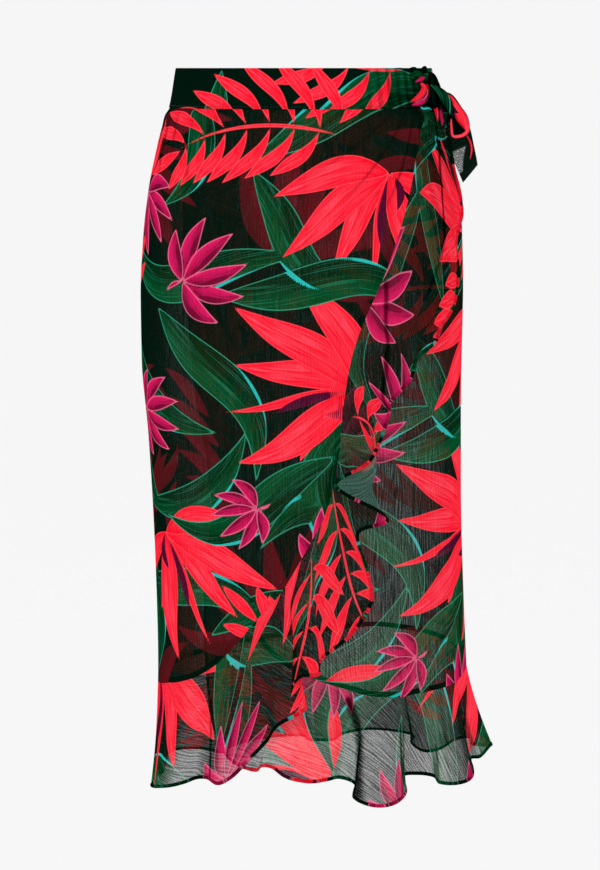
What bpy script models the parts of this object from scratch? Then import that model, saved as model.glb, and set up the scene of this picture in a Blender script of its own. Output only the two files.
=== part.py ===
"""Sheer wrap sarong with a curved wrap edge, a falling flounce, a waistband and a side knot.

Units are millimetres in the tables and metres in the scene. Z points up, the front faces -Y, and
the origin is the middle of the waistband, half way up. The cloth keeps the hollow form it has when
it is worn. A place on the cloth is an angle round the body, a depth below the top edge and a lift
off the body form. Angles run 0 at the right side seam, 90 at the back, 180 at the left side seam,
270 at the front and 360 at the right side seam again.
"""
import math
from collections import namedtuple

import bmesh
import bpy
import numpy as np

MM = 0.001
WAISTBAND_HEIGHT = 42.0
TOP_Z = WAISTBAND_HEIGHT / 2
SEAM_GAP = 0.3
BAND_SEAM_GAP = 0.65
CLOTH_WALL = 1.2
BAND_WALL = 1.6
STRAP_WALL = 1.6
LAP_LIFT = 2.8
RIGHT_SEAM = 360.0
LEFT_SEAM = 180.0
SEAM_GAP_ANGLE = 0.1
PANEL_ROWS = 10
PANEL_ROW_POWER = 1.8
FLOUNCE_ROWS = 6
FLOUNCE_STEPS = 3
BACK_FLOUNCE_STEPS = 2
FLARE_POWER = 1.35
SEAM_RADIUS = 150.0

Ring = namedtuple("Ring", "below half_width centre_x depth_front depth_back")
BODY_RINGS = (
    Ring(0, 135.5, 0.0, 92, 98),
    Ring(42, 143.5, 0.3, 97, 104),
    Ring(50, 148.5, 0.3, 100, 107),
    Ring(62, 151.5, 0.4, 102, 110),
    Ring(90, 159.0, 0.3, 106, 117),
    Ring(130, 167.0, 0.0, 110, 124),
    Ring(180, 172.3, -1.0, 112, 128),
    Ring(245, 175.0, -2.0, 112, 128),
    Ring(315, 174.5, -2.2, 110, 123),
    Ring(400, 171.5, 1.2, 108, 116),
    Ring(500, 170.0, 4.5, 108, 111),
    Ring(600, 171.0, 8.0, 110, 110),
    Ring(680, 173.0, 10.0, 112, 111),
    Ring(820, 178.0, 10.0, 116, 115),
)

# A row of a flounce: where it is sewn on, where its hem hangs there, and how far its middle swings.
Fold = namedtuple("Fold", "seam_angle seam_below hem_angle hem_below hem_lift swing drop", defaults=(0, 0))

OVER_FLOUNCE = (
    Fold(338.0, 42.4, 336.0, 76, 12),
    Fold(333.5, 42.4, 334.0, 97, 13),
    Fold(329.5, 42.4, 336.0, 121, 12),
    Fold(325.9, 43, 337.5, 140, 12),
    Fold(325.4, 52, 337.5, 155, 12),
    Fold(320.5, 68, 334.5, 181, 8),
    Fold(315.0, 95, 331.5, 214, 14),
    Fold(309.5, 134, 330.0, 248, 12),
    Fold(304.0, 175, 319.5, 270, 18),
    Fold(299.5, 208, 320.0, 287, 10),
    Fold(295.0, 236, 309.0, 301, 18),
    Fold(291.0, 262, 308.5, 324, 10),
    Fold(288.0, 286, 299.0, 347, 16),
    Fold(286.0, 310, 299.5, 363, 9),
    Fold(284.5, 336, 291.0, 408, 16, 5, 0),
    Fold(283.0, 364, 278.5, 432, 24, 13, 20),
    Fold(282.0, 392, 296.0, 471, 22),
    Fold(280.5, 417, 287.0, 488, 9),
    Fold(279.0, 440, 289.5, 528, 13),
    Fold(277.0, 459, 290.0, 561, 18),
    Fold(275.0, 474, 283.5, 597, 10),
    Fold(272.0, 490, 273.0, 621, 17),
    Fold(269.0, 506, 271.5, 637, 24),
    Fold(266.0, 521, 266.0, 639, 24),
    Fold(263.0, 536, 262.5, 660, 9),
    Fold(260.0, 550, 267.5, 675, 17),
    Fold(256.0, 565, 258.5, 694, 20),
    Fold(251.5, 579, 254.0, 715, 12),
    Fold(247.0, 594, 248.0, 737, 18),
    Fold(242.5, 610, 244.0, 753, 26),
    Fold(237.5, 625, 240.0, 761, 32),
    Fold(232.5, 638, 233.5, 761, 20),
    Fold(227.5, 648, 227.0, 766, 13),
    Fold(221.5, 657, 224.5, 770, 22),
    Fold(215.5, 663, 221.0, 774, 32),
    Fold(209.5, 668, 214.5, 780, 30),
    Fold(204.0, 671, 206.0, 788, 20),
    Fold(198.0, 675, 197.5, 794, 14),
    Fold(192.0, 678, 191.0, 798, 10),
    Fold(186.0, 680, 185.5, 801, 6),
    Fold(180.0, 681, 180.5, 802, 4),
)
OVER_PANEL_START = 4

UNDER_FLOUNCE = (
    Fold(360.0, 661, 357.0, 756, 27),
    Fold(354.0, 662, 353.0, 752, 27),
    Fold(347.5, 664, 346.5, 753, 25),
    Fold(342.0, 667, 339.5, 757, 22),
    Fold(336.5, 670, 342.0, 763, 9),
    Fold(330.5, 671, 328.0, 770, 30),
    Fold(324.5, 672, 317.5, 769, 37),
    Fold(319.5, 672, 311.5, 766, 30),
    Fold(314.5, 672, 313.0, 763, 15),
    Fold(310.0, 672, 308.0, 760, 8),
    Fold(306.0, 673, 300.5, 758, 13),
    Fold(302.5, 673, 298.5, 769, 32),
    Fold(298.5, 672, 292.0, 775, 48),
    Fold(294.5, 671, 286.0, 775, 48),
    Fold(290.5, 669, 281.5, 769, 34),
    Fold(287.0, 666, 283.0, 760, 17),
    Fold(283.0, 662, 278.5, 755, 11),
    Fold(279.5, 658, 274.0, 753, 23),
    Fold(275.5, 654, 269.0, 753, 30),
    Fold(272.0, 650, 264.0, 753, 24),
    Fold(268.5, 646, 260.0, 752, 15),
    Fold(265.0, 641, 255.5, 746, 7),
    Fold(261.0, 636, 251.5, 746, 4),
    Fold(258.0, 630, 250.0, 750, 8),
    Fold(254.5, 622, 246.0, 750, 5),
    Fold(251.0, 611, 241.5, 747, 3),
    Fold(247.5, 597, 237.0, 738, 2),
    Fold(244.0, 579, 233.0, 720, 1),
    Fold(240.5, 555, 229.5, 690, 1),
    Fold(237.5, 527, 227.5, 650, 0),
    Fold(235.0, 495, 227.0, 600, 0),
    Fold(233.0, 459, 228.0, 540, 0),
)

Edge = namedtuple("Edge", "angle below")
UNDER_HIDDEN_EDGE = (
    Edge(231.0, 410),
    Edge(228.5, 345),
    Edge(226.0, 270),
    Edge(223.0, 195),
    Edge(219.0, 125),
    Edge(214.0, 70),
)

BACK_SEAM = (
    Edge(0, 661),
    Edge(42, 647),
    Edge(60, 646),
    Edge(90, 657),
    Edge(135, 671),
    Edge(180, 681),
)

BACK_FLOUNCE = (
    Fold(0, 661, -3.0, 756, 27),
    Fold(8, 0, 3.0, 762, 24),
    Fold(16, 0, 14.0, 768, 12),
    Fold(25, 0, 27.0, 771, 30),
    Fold(34, 0, 36.5, 781, 33),
    Fold(41, 0, 38.5, 790, 14),
    Fold(47, 0, 45.0, 795, 8),
    Fold(53, 0, 52.0, 789, 12),
    Fold(60, 0, 55.0, 785, 30),
    Fold(69, 0, 70.0, 785, 35),
    Fold(77, 0, 79.5, 790, 26),
    Fold(84, 0, 82.5, 793, 10),
    Fold(92, 0, 91.0, 793, 9),
    Fold(99, 0, 94.5, 793, 26),
    Fold(108, 0, 107.0, 797, 34),
    Fold(117, 0, 119.0, 800, 22),
    Fold(125, 0, 125.0, 802, 10),
    Fold(134, 0, 131.5, 797, 22),
    Fold(143, 0, 143.5, 794, 30),
    Fold(152, 0, 153.5, 799, 15),
    Fold(161, 0, 162.0, 804, 6),
    Fold(170, 0, 170.5, 804, 9),
    Fold(180, 681, 180.5, 802, 4),
)
BACK_STATION = 5.0

# The gathers where the band runs into the knot, raised on the outside only.
GATHER_START = 652.0
GATHER_PITCH = 5.2
GATHER_HEIGHT = 1.1
BAND_START = 205.0
BAND_END = 698.0
BAND_STATION = 5.2

KNOT_ANGLE = 334.5
KNOT_BELOW = 25.0
KNOT_LIFT = 11.0
KNOT_HALF_SIZES = (10.0, 7.0, 23.0)
KNOT_BACK_LIFT = LAP_LIFT + BAND_WALL / 2 + GATHER_HEIGHT + SEAM_GAP
KNOT_GROOVES = 5
KNOT_GROOVE_DEPTH = 0.13
KNOT_TWIST = 0.075

Strap = namedtuple("Strap", "outer_x outer_z inner_x inner_z y gape")
TIE_LOOP = (
    Strap(143.6, -3, 145.0, -14, -46.5, 5),
    Strap(154.5, -6, 149.5, -23, -45.5, 7),
    Strap(163.0, -16, 152.0, -33, -47.0, 9),
    Strap(171.0, -30, 156.0, -43, -47.5, 12),
    Strap(174.0, -44, 159.0, -51, -47.0, 14),
)
TIE_TAIL = (
    Strap(143.2, -5, 144.6, -14, -40.5, 1),
    Strap(160.0, -17, 151.5, -31, -36.0, 2),
    Strap(170.0, -31, 155.0, -45, -34.0, 3),
    Strap(176.0, -43, 157.5, -57, -33.5, 3),
    Strap(180.5, -62, 159.0, -72, -33.0, 3),
    Strap(183.0, -73, 162.5, -85, -32.5, 2),
    Strap(184.5, -81, 169.0, -100, -32.0, 2),
)
LOOP_AROUND = 16
STRAP_STEPS = 2
STRAP_ACROSS = 4

Look = namedtuple("Look", "colour roughness")
LOOKS = {
    "waistband": Look((0.010, 0.045, 0.022), 0.75),
    "over_panel": Look((0.60, 0.02, 0.05), 0.8),
    "under_panel": Look((0.62, 0.06, 0.09), 0.8),
    "back_panel": Look((0.02, 0.05, 0.03), 0.8),
    "over_flounce": Look((0.02, 0.16, 0.08), 0.8),
    "under_flounce": Look((0.20, 0.22, 0.21), 0.8),
    "back_flounce": Look((0.10, 0.12, 0.11), 0.8),
    "tie_knot": Look((0.35, 0.01, 0.06), 0.75),
    "tie_loop": Look((0.62, 0.02, 0.05), 0.75),
    "tie_tail": Look((0.01, 0.03, 0.02), 0.75),
}


def table_column(table, name):
    """Return one named column of a table as an array."""
    return np.array([getattr(row, name) for row in table], float)


def smooth_through(knots, values, places):
    """Interpolate values over knots at the given places with a monotone cubic."""
    knots = np.asarray(knots, float)
    values = np.asarray(values, float)
    steps = np.diff(knots)
    slopes = np.diff(values) / steps
    tangents = np.concatenate([slopes[:1], np.zeros(len(knots) - 2), slopes[-1:]])
    same_way = slopes[:-1] * slopes[1:] > 0
    left_weight = steps[:-1] + 2 * steps[1:]
    right_weight = 2 * steps[:-1] + steps[1:]
    safe_before = np.where(same_way, slopes[:-1], 1.0)
    safe_after = np.where(same_way, slopes[1:], 1.0)
    inner = (left_weight + right_weight) / (left_weight / safe_after + right_weight / safe_before)
    tangents[1:-1] = np.where(same_way, inner, 0.0)
    places = np.clip(places, knots[0], knots[-1])
    index = np.clip(np.searchsorted(knots, places) - 1, 0, len(steps) - 1)
    part = (places - knots[index]) / steps[index]
    start = (2 * part ** 3 - 3 * part ** 2 + 1) * values[index]
    end = (3 * part ** 2 - 2 * part ** 3) * values[index + 1]
    bend = (part ** 3 - 2 * part ** 2 + part) * tangents[index]
    unbend = (part ** 3 - part ** 2) * tangents[index + 1]
    return start + end + (bend + unbend) * steps[index]


def rounded_through(values, places):
    """Interpolate values given at whole numbers with a Catmull-Rom curve."""
    values = np.asarray(values, float)
    padded = np.concatenate([[2 * values[0] - values[1]], values, [2 * values[-1] - values[-2]]])
    index = np.clip(np.floor(places).astype(int), 0, len(values) - 2)
    part = places - index
    before, first, second, after = (padded[index + shift] for shift in range(4))
    linear = second - before
    square = 2 * before - 5 * first + 4 * second - after
    cube = 3 * first - before - 3 * second + after
    return first + 0.5 * part * (linear + part * (square + part * cube))


def on_body(angle, below, lift):
    """Return points at an angle, a depth below the top edge and a lift off the body form."""
    angle, below, lift = np.broadcast_arrays(*(np.asarray(item, float) for item in (angle, below, lift)))
    depths = table_column(BODY_RINGS, "below")
    shape = {name: smooth_through(depths, table_column(BODY_RINGS, name), below) for name in Ring._fields[1:]}
    turn = np.radians(angle)
    depth = np.where(np.sin(turn) < 0, shape["depth_front"], shape["depth_back"]) + lift
    x = shape["centre_x"] + (shape["half_width"] + lift) * np.cos(turn)
    y = depth * np.sin(turn)
    return np.stack([x, y, TOP_Z - below], axis=-1)


def wrap_lift(along):
    """Return how far the wrapped cloth has spiralled out: none under, LAP_LIFT over."""
    part = np.clip((np.asarray(along, float) - RIGHT_SEAM) / (RIGHT_SEAM - LEFT_SEAM), 0, 1)
    return LAP_LIFT * part * part * (3 - 2 * part)


def make_material(name):
    """Make the Principled material of one piece from its row of LOOKS."""
    look = LOOKS[name]
    material = bpy.data.materials.new(name + "_cloth")
    material.use_nodes = True
    shader = material.node_tree.nodes["Principled BSDF"]
    shader.inputs["Base Color"].default_value = (*look.colour, 1.0)
    shader.inputs["Roughness"].default_value = look.roughness
    shader.inputs["Metallic"].default_value = 0.0
    return material


def finish_piece(name, mesh_builder, collection):
    """Turn a bmesh in millimetres into the named object in metres and return it."""
    bmesh.ops.scale(mesh_builder, vec=(MM, MM, MM), verts=mesh_builder.verts)
    bmesh.ops.recalc_face_normals(mesh_builder, faces=mesh_builder.faces)
    mesh = bpy.data.meshes.new(name)
    mesh_builder.to_mesh(mesh)
    mesh_builder.free()
    piece = bpy.data.objects.new(name, mesh)
    piece.data.materials.append(make_material(name))
    collection.objects.link(piece)
    return piece


def add_wall(piece, wall):
    """Give an open sheet its wall, half on each side."""
    solidify = piece.modifiers.new("wall", "SOLIDIFY")
    solidify.thickness = wall * MM
    solidify.offset = 0.0
    solidify.use_even_offset = True
    return piece


def make_sheet(name, points, wall, collection):
    """Make a cloth sheet from a grid of points (columns, rows, 3) in millimetres."""
    columns, rows = points.shape[:2]
    builder = bmesh.new()
    bmesh.ops.create_grid(builder, x_segments=columns - 1, y_segments=rows - 1, size=0.5)
    for vertex in builder.verts:
        column = round((vertex.co.x + 0.5) * (columns - 1))
        row = round((vertex.co.y + 0.5) * (rows - 1))
        vertex.co = points[column, row]
    return add_wall(finish_piece(name, builder, collection), wall)


def panel_points(angles, bottoms, lifts):
    """Return the grid of a panel that hangs from the waistband to its lower edge."""
    top = WAISTBAND_HEIGHT + BAND_SEAM_GAP
    part = np.linspace(0, 1, PANEL_ROWS + 1) ** PANEL_ROW_POWER
    below = top + np.outer(np.asarray(bottoms) - top, part)
    return on_body(np.asarray(angles)[:, None], below, np.asarray(lifts)[:, None])


def step_off_seam(angles, belows):
    """Return a seam's angles and depths, moved SEAM_GAP square to the seam and away from its panel."""
    across = np.gradient(np.radians(angles) * SEAM_RADIUS)
    down = np.gradient(belows)
    length = np.hypot(across, down)
    away = np.where(across < 0, 1.0, -1.0) * SEAM_GAP / length
    return angles + np.degrees(away * down / SEAM_RADIUS), belows - away * across


def flounce_points(folds, wraps_from, steps):
    """Return the grid of a flounce: its upper edge on the seam, its hem rounded through the folds."""
    last = len(folds) - 1
    places = np.linspace(0, last, last * steps + 1)
    column = {name: rounded_through(table_column(folds, name), places) for name in Fold._fields}
    base = wrap_lift(table_column(folds, "seam_angle") + wraps_from)
    angles, belows = step_off_seam(table_column(folds, "seam_angle"), table_column(folds, "seam_below"))
    corners = on_body(angles, belows, base)
    seam = np.stack([np.interp(places, range(last + 1), corners[:, axis]) for axis in range(3)], axis=-1)
    seam_angle = np.interp(places, range(last + 1), angles)
    seam_below = np.interp(places, range(last + 1), belows)
    seam_lift = np.interp(places, range(last + 1), base)
    part = np.linspace(0, 1, FLOUNCE_ROWS + 1)[None, :]
    swell = 4 * part * (1 - part)
    angle = seam_angle[:, None] * (1 - part) + column["hem_angle"][:, None] * part
    below = seam_below[:, None] * (1 - part) + column["hem_below"][:, None] * part
    flare = part ** FLARE_POWER
    lift = seam_lift[:, None] + (column["hem_lift"] - seam_lift)[:, None] * flare
    points = on_body(angle + column["swing"][:, None] * swell, below + column["drop"][:, None] * swell, lift)
    points[:, 0] = seam
    return points


def make_over_panel(collection):
    """Make the front panel that laps over, from the left side seam to the curved wrap edge."""
    edge = OVER_FLOUNCE[OVER_PANEL_START:]
    angles = table_column(edge, "seam_angle")
    angles[-1] += SEAM_GAP_ANGLE / 2
    bottoms = table_column(edge, "seam_below")
    lifts = wrap_lift(table_column(edge, "seam_angle") + RIGHT_SEAM)
    return make_sheet("over_panel", panel_points(angles, bottoms, lifts), CLOTH_WALL, collection)


def make_under_panel(collection):
    """Make the front panel that lies beneath, from the right side seam to its hidden edge."""
    angles = np.concatenate([table_column(UNDER_FLOUNCE, "seam_angle"), table_column(UNDER_HIDDEN_EDGE, "angle")])
    angles[0] -= SEAM_GAP_ANGLE / 2
    bottoms = np.concatenate([table_column(UNDER_FLOUNCE, "seam_below"), table_column(UNDER_HIDDEN_EDGE, "below")])
    return make_sheet("under_panel", panel_points(angles, bottoms, wrap_lift(angles)), CLOTH_WALL, collection)


def back_stations():
    """Return the angles of the back panel's columns."""
    return np.linspace(0, LEFT_SEAM, round(LEFT_SEAM / BACK_STATION) + 1)


def back_seam_below(angles):
    """Return the depth of the back flounce's seam at the given angles."""
    return smooth_through(table_column(BACK_SEAM, "angle"), table_column(BACK_SEAM, "below"), angles)


def make_back_panel(collection):
    """Make the back panel between the two side seams."""
    stations = back_stations()
    angles = stations.copy()
    angles[0] += SEAM_GAP_ANGLE / 2
    angles[-1] -= SEAM_GAP_ANGLE / 2
    lifts = wrap_lift(stations + RIGHT_SEAM)
    return make_sheet("back_panel", panel_points(angles, back_seam_below(stations), lifts), CLOTH_WALL, collection)


def back_folds():
    """Return the back flounce's folds at the back panel's stations."""
    stations = back_stations()
    places = np.interp(stations, table_column(BACK_FLOUNCE, "seam_angle"), range(len(BACK_FLOUNCE)))
    hems = [rounded_through(table_column(BACK_FLOUNCE, name), places) for name in Fold._fields[2:5]]
    return tuple(Fold(*row) for row in zip(stations, back_seam_below(stations), *hems))


def trim_ends(folds, first_shift, last_shift):
    """Return the folds with their first and last rows turned a little, to leave the seam gap."""
    first = folds[0]._replace(
        seam_angle=folds[0].seam_angle + first_shift,
        hem_angle=folds[0].hem_angle + first_shift,
    )
    last = folds[-1]._replace(
        seam_angle=folds[-1].seam_angle + last_shift,
        hem_angle=folds[-1].hem_angle + last_shift,
    )
    return (first, *folds[1:-1], last)


def make_flounces(collection):
    """Make the three flounces that hang from the panels."""
    shift = SEAM_GAP_ANGLE / 2
    flounces = (
        ("over_flounce", trim_ends(OVER_FLOUNCE, 0, shift), RIGHT_SEAM, FLOUNCE_STEPS),
        ("under_flounce", trim_ends(UNDER_FLOUNCE, -shift, 0), 0.0, FLOUNCE_STEPS),
        ("back_flounce", trim_ends(back_folds(), shift, -shift), RIGHT_SEAM, BACK_FLOUNCE_STEPS),
    )
    return [
        make_sheet(name, flounce_points(folds, wraps_from, steps), CLOTH_WALL, collection)
        for name, folds, wraps_from, steps in flounces
    ]


def make_waistband(collection):
    """Make the band: one strip wound more than once round, gathered where it meets the knot."""
    steps = round((BAND_END - BAND_START) / BAND_STATION)
    along = np.linspace(BAND_START, BAND_END, steps + 1)
    fine = np.arange(GATHER_START, BAND_END, GATHER_PITCH / 3)
    along = np.concatenate([along[along < GATHER_START - 1], fine, [BAND_END]])
    ramp = np.clip((along - GATHER_START) / (BAND_END - GATHER_START), 0, 1)
    pucker = GATHER_HEIGHT * ramp * (1 - np.cos(2 * np.pi * (along - GATHER_START) / GATHER_PITCH)) / 2
    below = np.linspace(0, WAISTBAND_HEIGHT, 3)
    lift = (wrap_lift(along) + pucker)[:, None]
    return make_sheet("waistband", on_body(along[:, None], below[None, :], lift), BAND_WALL, collection)


def make_knot(collection):
    """Make the knot as a lobed body, twisted along its length and flat where it lies on the band."""
    builder = bmesh.new()
    bmesh.ops.create_uvsphere(builder, u_segments=25, v_segments=12, radius=1.0)
    sideways = on_body(KNOT_ANGLE + 1, KNOT_BELOW, 0.0) - on_body(KNOT_ANGLE - 1, KNOT_BELOW, 0.0)
    sideways /= np.linalg.norm(sideways)
    outward = np.array([sideways[1], -sideways[0], 0.0])
    half_side, half_out, half_up = KNOT_HALF_SIZES
    for vertex in builder.verts:
        side, out, up = vertex.co
        bearing = math.atan2(out, side)
        groove = 1 + KNOT_GROOVE_DEPTH * math.cos(KNOT_GROOVES * bearing + KNOT_TWIST * up * half_up)
        waist = 1 - 0.22 * math.exp(-((up - 0.25) / 0.22) ** 2)
        out_lift = max(KNOT_LIFT + out * half_out * groove * waist, KNOT_BACK_LIFT)
        foot = on_body(KNOT_ANGLE, KNOT_BELOW - up * half_up, 0.0)
        vertex.co = foot + sideways * side * half_side * groove * waist + outward * out_lift
    return finish_piece("tie_knot", builder, collection)


def strap_rows(table):
    """Return the columns of a strap table, rounded through its rows."""
    last = len(table) - 1
    places = np.linspace(0, last, last * STRAP_STEPS + 1)
    return {name: rounded_through(table_column(table, name), places)[:, None] for name in Strap._fields}


def make_loop(collection):
    """Make the short loop that leaves the knot: a flattened tube, open at both ends."""
    row = strap_rows(TIE_LOOP)
    bearing = np.linspace(0, 2 * math.pi, LOOP_AROUND, endpoint=False)[None, :]
    middle_x = (row["outer_x"] + row["inner_x"]) / 2
    middle_z = (row["outer_z"] + row["inner_z"]) / 2
    x = middle_x + (row["outer_x"] - row["inner_x"]) / 2 * np.cos(bearing)
    z = middle_z + (row["outer_z"] - row["inner_z"]) / 2 * np.cos(bearing)
    y = row["y"] + row["gape"] / 2 * np.sin(bearing)
    rings = np.stack(np.broadcast_arrays(x, y, z), axis=-1)
    builder = bmesh.new()
    loops = [[builder.verts.new(point) for point in ring] for ring in rings]
    for ring in loops:
        for first, second in zip(ring, ring[1:] + ring[:1]):
            builder.edges.new((first, second))
    bmesh.ops.bridge_loops(builder, edges=builder.edges)
    return add_wall(finish_piece("tie_loop", builder, collection), CLOTH_WALL)


def make_tail(collection):
    """Make the hanging end of the tie, cut slantwise."""
    row = strap_rows(TIE_TAIL)
    part = np.linspace(0, 1, STRAP_ACROSS + 1)[None, :]
    x = row["outer_x"] * (1 - part) + row["inner_x"] * part
    z = row["outer_z"] * (1 - part) + row["inner_z"] * part
    y = row["y"] - row["gape"] * 4 * part * (1 - part) / 2
    points = np.stack(np.broadcast_arrays(x, y, z), axis=-1)
    return make_sheet("tie_tail", points, STRAP_WALL, collection)


def remove_everything():
    """Remove the objects that the file starts with."""
    for item in list(bpy.data.objects):
        bpy.data.objects.remove(item)


def main():
    """Build the sarong in its own collection."""
    remove_everything()
    collection = bpy.data.collections.new("wrap_sarong")
    bpy.context.scene.collection.children.link(collection)
    make_waistband(collection)
    make_over_panel(collection)
    make_under_panel(collection)
    make_back_panel(collection)
    make_flounces(collection)
    make_knot(collection)
    make_loop(collection)
    make_tail(collection)


main()
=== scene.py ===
"""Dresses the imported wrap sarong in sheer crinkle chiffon, with its seams, rolled hems, stitches and knot.

Tables are in millimetres and repeat the named values of the part's source. A place on the worn cloth is an
angle round the body, a depth below the top edge and a lift off the body form. Angles run 0 at the right
side seam, 90 at the back, 180 at the left side seam, 270 at the front and 360 at the right side seam
again. A second place, on the flat cut cloth, is millimetres across and down the cut. The print and the
crinkle follow that one.
"""
from __future__ import annotations

import logging
import math
from collections.abc import Callable, Mapping, Sequence
from dataclasses import dataclass, field, replace
from enum import Enum

import bpy
import numpy as np
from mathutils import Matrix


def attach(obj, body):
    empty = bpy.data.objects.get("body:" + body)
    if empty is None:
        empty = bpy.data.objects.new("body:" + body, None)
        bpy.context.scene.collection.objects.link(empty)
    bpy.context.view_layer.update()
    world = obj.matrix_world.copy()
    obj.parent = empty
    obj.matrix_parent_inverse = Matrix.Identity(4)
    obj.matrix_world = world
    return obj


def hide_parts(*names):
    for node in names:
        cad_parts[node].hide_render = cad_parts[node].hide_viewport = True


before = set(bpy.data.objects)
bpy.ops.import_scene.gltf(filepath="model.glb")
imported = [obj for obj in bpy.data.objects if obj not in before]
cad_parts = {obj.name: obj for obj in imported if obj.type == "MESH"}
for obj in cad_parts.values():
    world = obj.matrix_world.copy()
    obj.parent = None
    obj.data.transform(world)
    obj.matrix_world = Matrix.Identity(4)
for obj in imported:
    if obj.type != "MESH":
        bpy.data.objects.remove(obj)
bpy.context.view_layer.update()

LOG = logging.getLogger("sarong")
MM = 0.001
MM_PER_METRE = 1000.0
WAISTBAND_HEIGHT = 42.0
TOP_Z = WAISTBAND_HEIGHT / 2
BAND_SEAM_GAP = 0.65
LAP_LIFT = 2.8
RIGHT_SEAM = 360.0
LEFT_SEAM = 180.0
HALF_SEAM_GAP = 0.05
FLARE_POWER = 1.35
MESH_PITCH = 2.05
SEAM_STEPS = 20
BACK_EDGE_POINTS = 37
ALLOWANCE_WIDTH = 6.0
ALLOWANCE_INSET = 0.45
AREA_LIMIT = 0.999


def table(kind: Callable[..., object], *rows: tuple) -> tuple:
    """Return a table's rows, each made into one of the kind."""
    return tuple(kind(*row) for row in rows)


@dataclass(frozen=True)
class Ring:
    """One level of the body form: an ellipse with its own depth to the front and to the back."""

    below: float
    half_width: float
    centre_x: float
    depth_front: float
    depth_back: float


BODY_RINGS = table(
    Ring,
    (0, 135.5, 0, 92, 98), (42, 143.5, 0.3, 97, 104), (50, 148.5, 0.3, 100, 107),
    (62, 151.5, 0.4, 102, 110), (90, 159, 0.3, 106, 117), (130, 167, 0, 110, 124),
    (180, 172.3, -1, 112, 128), (245, 175, -2, 112, 128), (315, 174.5, -2.2, 110, 123),
    (400, 171.5, 1.2, 108, 116), (500, 170, 4.5, 108, 111), (600, 171, 8, 110, 110),
    (680, 173, 10, 112, 111), (820, 178, 10, 116, 115),
)


@dataclass(frozen=True)
class Fold:
    """A row of a flounce: where it is sewn on, where its hem hangs there, and how far its middle swings."""

    seam_angle: float
    seam_below: float
    hem_angle: float
    hem_below: float
    hem_lift: float
    swing: float = 0.0
    drop: float = 0.0


OVER_FLOUNCE = table(
    Fold,
    (338, 42.4, 336, 76, 12), (333.5, 42.4, 334, 97, 13), (329.5, 42.4, 336, 121, 12),
    (325.9, 43, 337.5, 140, 12), (325.4, 52, 337.5, 155, 12), (320.5, 68, 334.5, 181, 8),
    (315, 95, 331.5, 214, 14), (309.5, 134, 330, 248, 12), (304, 175, 319.5, 270, 18),
    (299.5, 208, 320, 287, 10), (295, 236, 309, 301, 18), (291, 262, 308.5, 324, 10),
    (288, 286, 299, 347, 16), (286, 310, 299.5, 363, 9), (284.5, 336, 291, 408, 16, 5, 0),
    (283, 364, 278.5, 432, 24, 13, 20), (282, 392, 296, 471, 22), (280.5, 417, 287, 488, 9),
    (279, 440, 289.5, 528, 13), (277, 459, 290, 561, 18), (275, 474, 283.5, 597, 10),
    (272, 490, 273, 621, 17), (269, 506, 271.5, 637, 24), (266, 521, 266, 639, 24),
    (263, 536, 262.5, 660, 9), (260, 550, 267.5, 675, 17), (256, 565, 258.5, 694, 20),
    (251.5, 579, 254, 715, 12), (247, 594, 248, 737, 18), (242.5, 610, 244, 753, 26),
    (237.5, 625, 240, 761, 32), (232.5, 638, 233.5, 761, 20), (227.5, 648, 227, 766, 13),
    (221.5, 657, 224.5, 770, 22), (215.5, 663, 221, 774, 32), (209.5, 668, 214.5, 780, 30),
    (204, 671, 206, 788, 20), (198, 675, 197.5, 794, 14), (192, 678, 191, 798, 10),
    (186, 680, 185.5, 801, 6), (180, 681, 180.5, 802, 4),
)
OVER_PANEL_START = 4
UNDER_FLOUNCE = table(
    Fold,
    (360, 661, 357, 756, 27), (354, 662, 353, 752, 27), (347.5, 664, 346.5, 753, 25),
    (342, 667, 339.5, 757, 22), (336.5, 670, 342, 763, 9), (330.5, 671, 328, 770, 30),
    (324.5, 672, 317.5, 769, 37), (319.5, 672, 311.5, 766, 30), (314.5, 672, 313, 763, 15),
    (310, 672, 308, 760, 8), (306, 673, 300.5, 758, 13), (302.5, 673, 298.5, 769, 32),
    (298.5, 672, 292, 775, 48), (294.5, 671, 286, 775, 48), (290.5, 669, 281.5, 769, 34),
    (287, 666, 283, 760, 17), (283, 662, 278.5, 755, 11), (279.5, 658, 274, 753, 23),
    (275.5, 654, 269, 753, 30), (272, 650, 264, 753, 24), (268.5, 646, 260, 752, 15),
    (265, 641, 255.5, 746, 7), (261, 636, 251.5, 746, 4), (258, 630, 250, 750, 8),
    (254.5, 622, 246, 750, 5), (251, 611, 241.5, 747, 3), (247.5, 597, 237, 738, 2),
    (244, 579, 233, 720, 1), (240.5, 555, 229.5, 690, 1), (237.5, 527, 227.5, 650, 0),
    (235, 495, 227, 600, 0), (233, 459, 228, 540, 0),
)
BACK_FLOUNCE = table(
    Fold,
    (0, 661, -3, 756, 27), (8, 0, 3, 762, 24), (16, 0, 14, 768, 12), (25, 0, 27, 771, 30),
    (34, 0, 36.5, 781, 33), (41, 0, 38.5, 790, 14), (47, 0, 45, 795, 8), (53, 0, 52, 789, 12),
    (60, 0, 55, 785, 30), (69, 0, 70, 785, 35), (77, 0, 79.5, 790, 26), (84, 0, 82.5, 793, 10),
    (92, 0, 91, 793, 9), (99, 0, 94.5, 793, 26), (108, 0, 107, 797, 34), (117, 0, 119, 800, 22),
    (125, 0, 125, 802, 10), (134, 0, 131.5, 797, 22), (143, 0, 143.5, 794, 30), (152, 0, 153.5, 799, 15),
    (161, 0, 162, 804, 6), (170, 0, 170.5, 804, 9), (180, 681, 180.5, 802, 4),
)


@dataclass(frozen=True)
class Edge:
    """A point of a panel's edge."""

    angle: float
    below: float


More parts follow.
